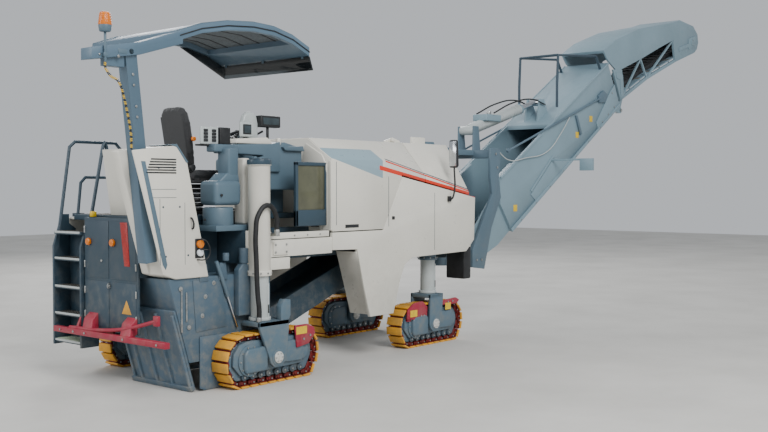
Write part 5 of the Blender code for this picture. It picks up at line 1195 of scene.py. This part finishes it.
# ------------------------------------------------------------------ discharge conveyor
# Two folded-plate troughs in a paler blue-grey, hinged at the middle, hung from a turning bracket
# with bowed arms. The outer half is a lattice under a bent cover, with the drive drum at its head.
rounded("slew_bracket", 0.008, steel_enamel)
rounded("lower_conveyor", 0.006, conveyor_enamel)
rounded("upper_conveyor", 0.004, conveyor_enamel)
rounded("lift_ram_barrel", 0.004, tube_grey)
rounded("lift_ram_rod", 0.003, hard_chrome)
for side, word in ((-1, "right"), (1, "left")):
    y = side * 0.42
    lo, hi = sorted((y, y + side * 0.022))
    flange = [slab([(5.60, 1.37), (9.10, 3.49), (9.07, 3.53), (5.57, 1.42)], lo, hi, "Y", 0.004),
              slab([(5.29, 2.17), (8.68, 4.196), (8.66, 4.228), (5.28, 2.205)], lo, hi, "Y", 0.004)]
    lo, hi = sorted((y, y + side * 0.012))
    doubled = hi + 0.012 if side > 0 else hi
    # The pressed recess halfway up, and the doubling plates at the hinge.
    flange += [slab([(6.13, 1.93), (6.30, 1.82), (7.02, 2.27), (7.36, 2.50), (6.86, 2.52), (6.76, 2.46)],
                    lo, hi, "Y", 0.006),
               slab([(6.16, 1.97), (6.76, 2.48), (6.86, 2.54), (6.80, 2.56), (6.72, 2.50), (6.13, 2.0)], lo,
                    doubled, "Y", 0.004),
               slab([(8.30, 3.04), (9.08, 3.52), (8.90, 3.86), (8.74, 3.72), (8.24, 3.16)], lo, hi, "Y",
                    0.005)]
    fitted(f"trough_flange_{word}", flange, conveyor_enamel, "lower_half")
    bolts = [rod((5.85 + 0.42 * k, y + side * 0.020, 1.55 + 0.2545 * k),
                 (5.85 + 0.42 * k, y + side * 0.030, 1.55 + 0.2545 * k), 0.012, 6, 0.0) for k in range(8)]
    bolts += [rod((x, y + side * 0.010, z), (x, y + side * 0.022, z), 0.016, 6, 0.002) for x,
              z in ((8.45, 3.18), (8.66, 3.32), (8.88, 3.46), (8.80, 3.70))]
    fitted(f"trough_bolts_{word}", bolts, zinc_bolt, "lower_half")
    stays = [hose([(5.46, y + side * 0.03, 2.60), (8.40, y + side * 0.03, 3.60)], 0.016, 3, False),
             rod((5.46, y + side * 0.005, 2.60), (5.46, y + side * 0.045, 2.60), 0.03, 20, 0.004),
             slab([(8.30, 3.50), (8.52, 3.52), (8.60, 3.66), (8.44, 3.72), (8.28, 3.62)],
                  *sorted((y, y + side * 0.04)), "Y", 0.006),
             slab([(7.50, 3.24), (7.56, 3.24), (7.72, 2.94), (7.66, 2.92)], *sorted((y, y + side * 0.03)),
                  "Y", 0.004)]
    fitted(f"trough_stay_{word}", stays, steel_enamel, "lower_half")
    plates = [slab([(x - 0.05, z - 0.05), (x + 0.05, z - 0.05), (x + 0.05, z + 0.05), (x - 0.05, z + 0.05)],
                   *sorted((y, y + side * 0.004)), "Y", 0.001)
              for x, z in ((8.06, 3.21), (7.59, 2.92), (5.70, 1.73))]
    fitted(f"trough_plates_{word}", plates, label_yellow, "lower_half")
    bow_bolts = [rod((x, side * 0.472, z), (x, side * 0.484, z), 0.018, 6, 0.002) for x,
                 z in ((4.60, 1.00), (4.72, 1.00), (5.08, 2.54), (5.12, 2.34))]
    fitted(f"bow_bolts_{word}", bow_bolts, zinc_bolt, "slew")
    y = side * 0.39
    # Head bearing slots, and hinge cheeks with a long hole.
    head = [slab([(11.62, 4.72), (11.62, 4.80), (12.25, 4.98), (12.25, 4.90)],
                 *sorted((side * 0.42, side * 0.432)), "Y", 0.004),
            slab([(12.06, 4.80), (12.40, 4.90), (12.46, 5.02), (12.40, 5.12), (12.06, 5.02)],
                 *sorted((side * 0.42, side * 0.434)), "Y", 0.006),
            rod((12.24, side * 0.42, 4.96), (12.24, side * 0.445, 4.96), 0.07, 32, 0.006),
            slab([(9.17, 3.62), (9.28, 3.70), (9.22, 4.06), (8.96, 4.08), (8.98, 3.98), (9.12, 3.96),
                  (9.14, 3.78)], *sorted((side * 0.42, side * 0.43)), "Y", 0.004)]
    fitted(f"head_plates_{word}", head, conveyor_enamel, "upper_half")
    head_bolts = [rod((12.24 + 0.05 * cos(k), side * 0.444, 4.96 + 0.05 * sin(k)),
                      (12.24 + 0.05 * cos(k), side * 0.452, 4.96 + 0.05 * sin(k)), 0.009, 6, 0.0)
                  for k in range(6)]
    head_bolts.append(rod((9.16, side * 0.415, 3.42), (9.16, side * 0.44, 3.42), 0.026, 24, 0.004))
    fitted(f"head_bolts_{word}", head_bolts, zinc_bolt, "upper_half")
loop_frame = [hose([(7.03, y, 3.72), (7.06, y, 4.20), (8.30, y, 4.30)], 0.022, 3, False)
              for y in (-0.36, 0.36)]
loop_frame += [hose([(7.06, -0.36, 4.20), (7.06, 0.36, 4.20)], 0.022, 3, False),
               hose([(7.03, -0.36, 3.35), (7.03, -0.36, 3.73)], 0.022, 3, False),
               hose([(7.03, 0.36, 3.35), (7.03, 0.36, 3.73)], 0.022, 3, False),
               hose([(8.30, -0.38, 4.30), (8.46, -0.38, 4.08)], 0.022, 3, False),
               hose([(8.30, 0.38, 4.30), (8.46, 0.38, 4.08)], 0.022, 3, False)]
fitted("belt_guard_frame", loop_frame, slate_enamel, "lower_half")
RAM_FOOT, RAM_LINE = Vector((5.05, 0, 2.90)), Vector((1.90, 0, 0.54)).normalized()
ram_block = block((5.35, -0.13, 3.06), (5.75, 0.13, 3.16), 0.012, 3)
ram_port = rod((5.60, 0.0, 3.16), (5.60, 0.0, 3.22), 0.035, 24, 0.005)
ram_collar = rod(RAM_FOOT + RAM_LINE * 1.43, RAM_FOOT + RAM_LINE * 1.475, 0.088, 36, 0.005)
fitted("lift_ram_fittings", [ram_block, ram_collar], conveyor_enamel, "ram_barrel")
fitted("lift_ram_port", [ram_port], zinc_bolt, "ram_barrel")
feeds = [hose([(5.50, y, 3.18), (6.0, y, 3.36), (6.6, y, 3.46), (7.0, y, 3.40)], 0.012)
         for y in (-0.16, 0.16)]
fitted("conveyor_feed_hoses", feeds, hose_rubber, "lower_half")
cable = [hose([(5.20, -0.44, 2.58), (5.45, -0.452, 2.46), (5.95, -0.448, 2.50), (6.60, -0.446, 2.62),
               (7.05, -0.446, 2.95), (7.30, -0.446, 3.20)], 0.008)]
fitted("conveyor_lamp_cable", cable, tube_grey, "lower_half")
marker = [block((6.745, side * 0.96 - 0.006, 2.325), (6.795, side * 0.96 + 0.006, 2.485), 0.004)
          for side in (1, -1)]
fitted("marker_edges", marker, tube_grey, "lower_half")

# ------------------------------------------------------------------ conveyor belt and its rollers
# A black fabric-cored rubber belt with moulded V cleats, on steel idlers and a lagged head drum.
rounded("lower_belt", 0.004, belt_rubber)
rounded("upper_belt", 0.004, belt_rubber)
lower_slope, cleats = Vector((3.76, 0, 2.29)).normalized(), []
for k in range(16):
    at = Vector((5.75, 0, 1.60)) + lower_slope * (0.235 * k)
    cleats.append(hose([(at.x - 0.05, -0.21, at.z - 0.03), (at.x + 0.04, 0, at.z + 0.024),
                        (at.x - 0.05, 0.21, at.z - 0.03)], 0.012, 2, False))
fitted("lower_cleats", cleats, belt_rubber, "lower_half")
chord = ((9.40, 3.72), (10.24, 4.09), (11.48, 4.53), (12.30, 4.78))
cleats, rollers = [], []
for (ax, az), (bx, bz) in zip(chord, chord[1:]):
    count = round(((bx - ax) ** 2 + (bz - az) ** 2) ** 0.5 / 0.235)
    for k in range(count):
        x, z = ax + (bx - ax) * k / count, az + (bz - az) * k / count + 0.155
        cleats.append(hose([(x - 0.04, -0.21, z - 0.015), (x + 0.04, 0, z + 0.02),
                            (x - 0.04, 0.21, z - 0.015)], 0.012, 2, False))
        if k % 2:
            rollers.append(rod((x, -0.36, z - 0.10), (x, 0.36, z - 0.10), 0.030, 20, 0.004))
fitted("upper_cleats", cleats, belt_rubber, "upper_half")
fitted("upper_rollers", rollers, worn_steel, "upper_half")
drum = [rod((12.24, -0.375, 4.96), (12.24, 0.375, 4.96), 0.105, 40, 0.006)]
drum += [rod((12.24 + 0.107 * cos(2 * pi * k / 12), -0.30, 4.96 + 0.107 * sin(2 * pi * k / 12)),
             (12.24 + 0.107 * cos(2 * pi * k / 12), 0.30, 4.96 + 0.107 * sin(2 * pi * k / 12)), 0.006, 8,
             0.0) for k in range(12)]
fitted("head_drum", drum, belt_rubber, "upper_half")

# ------------------------------------------------------------------ floor and light
bpy.ops.mesh.primitive_plane_add(size=60.0, location=(0, 0, 0))
floor = bpy.context.object
floor.name = "floor"
floor.data.materials.append(plain_surface("pale_concrete", "#c9c7c2", "#bdbbb6", 0.8, 0.7, 0.0, 0.05))
floor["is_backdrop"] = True

world = bpy.data.worlds.new("studio")
bpy.context.scene.world = world
world.use_nodes = True
world.node_tree.nodes["Background"].inputs["Color"].default_value = linear("#dfe3e8")
world.node_tree.nodes["Background"].inputs["Strength"].default_value = 0.75
for name, place, aim, size, power in (
    ("key", (-9, -13, 12), (-2, 0, 1.2), 8.0, 2600.0), ("fill", (-16, 4, 7), (-3, 0, 1.5), 8.0, 700.0),
    ("rim", (6, 12, 10), (0, 0, 2), 8.0, 1500.0),
):
    light = bpy.data.lights.new(name, "AREA")
    light.size = size
    light.energy = power
    lamp = bpy.data.objects.new(name, light)
    lamp.location = place
    lamp.rotation_euler = (Vector(aim) - Vector(place)).to_track_quat("-Z", "Y").to_euler()
    bpy.context.scene.collection.objects.link(lamp)

[[list(corner) for corner in box] for box in (solid_bounds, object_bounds())]
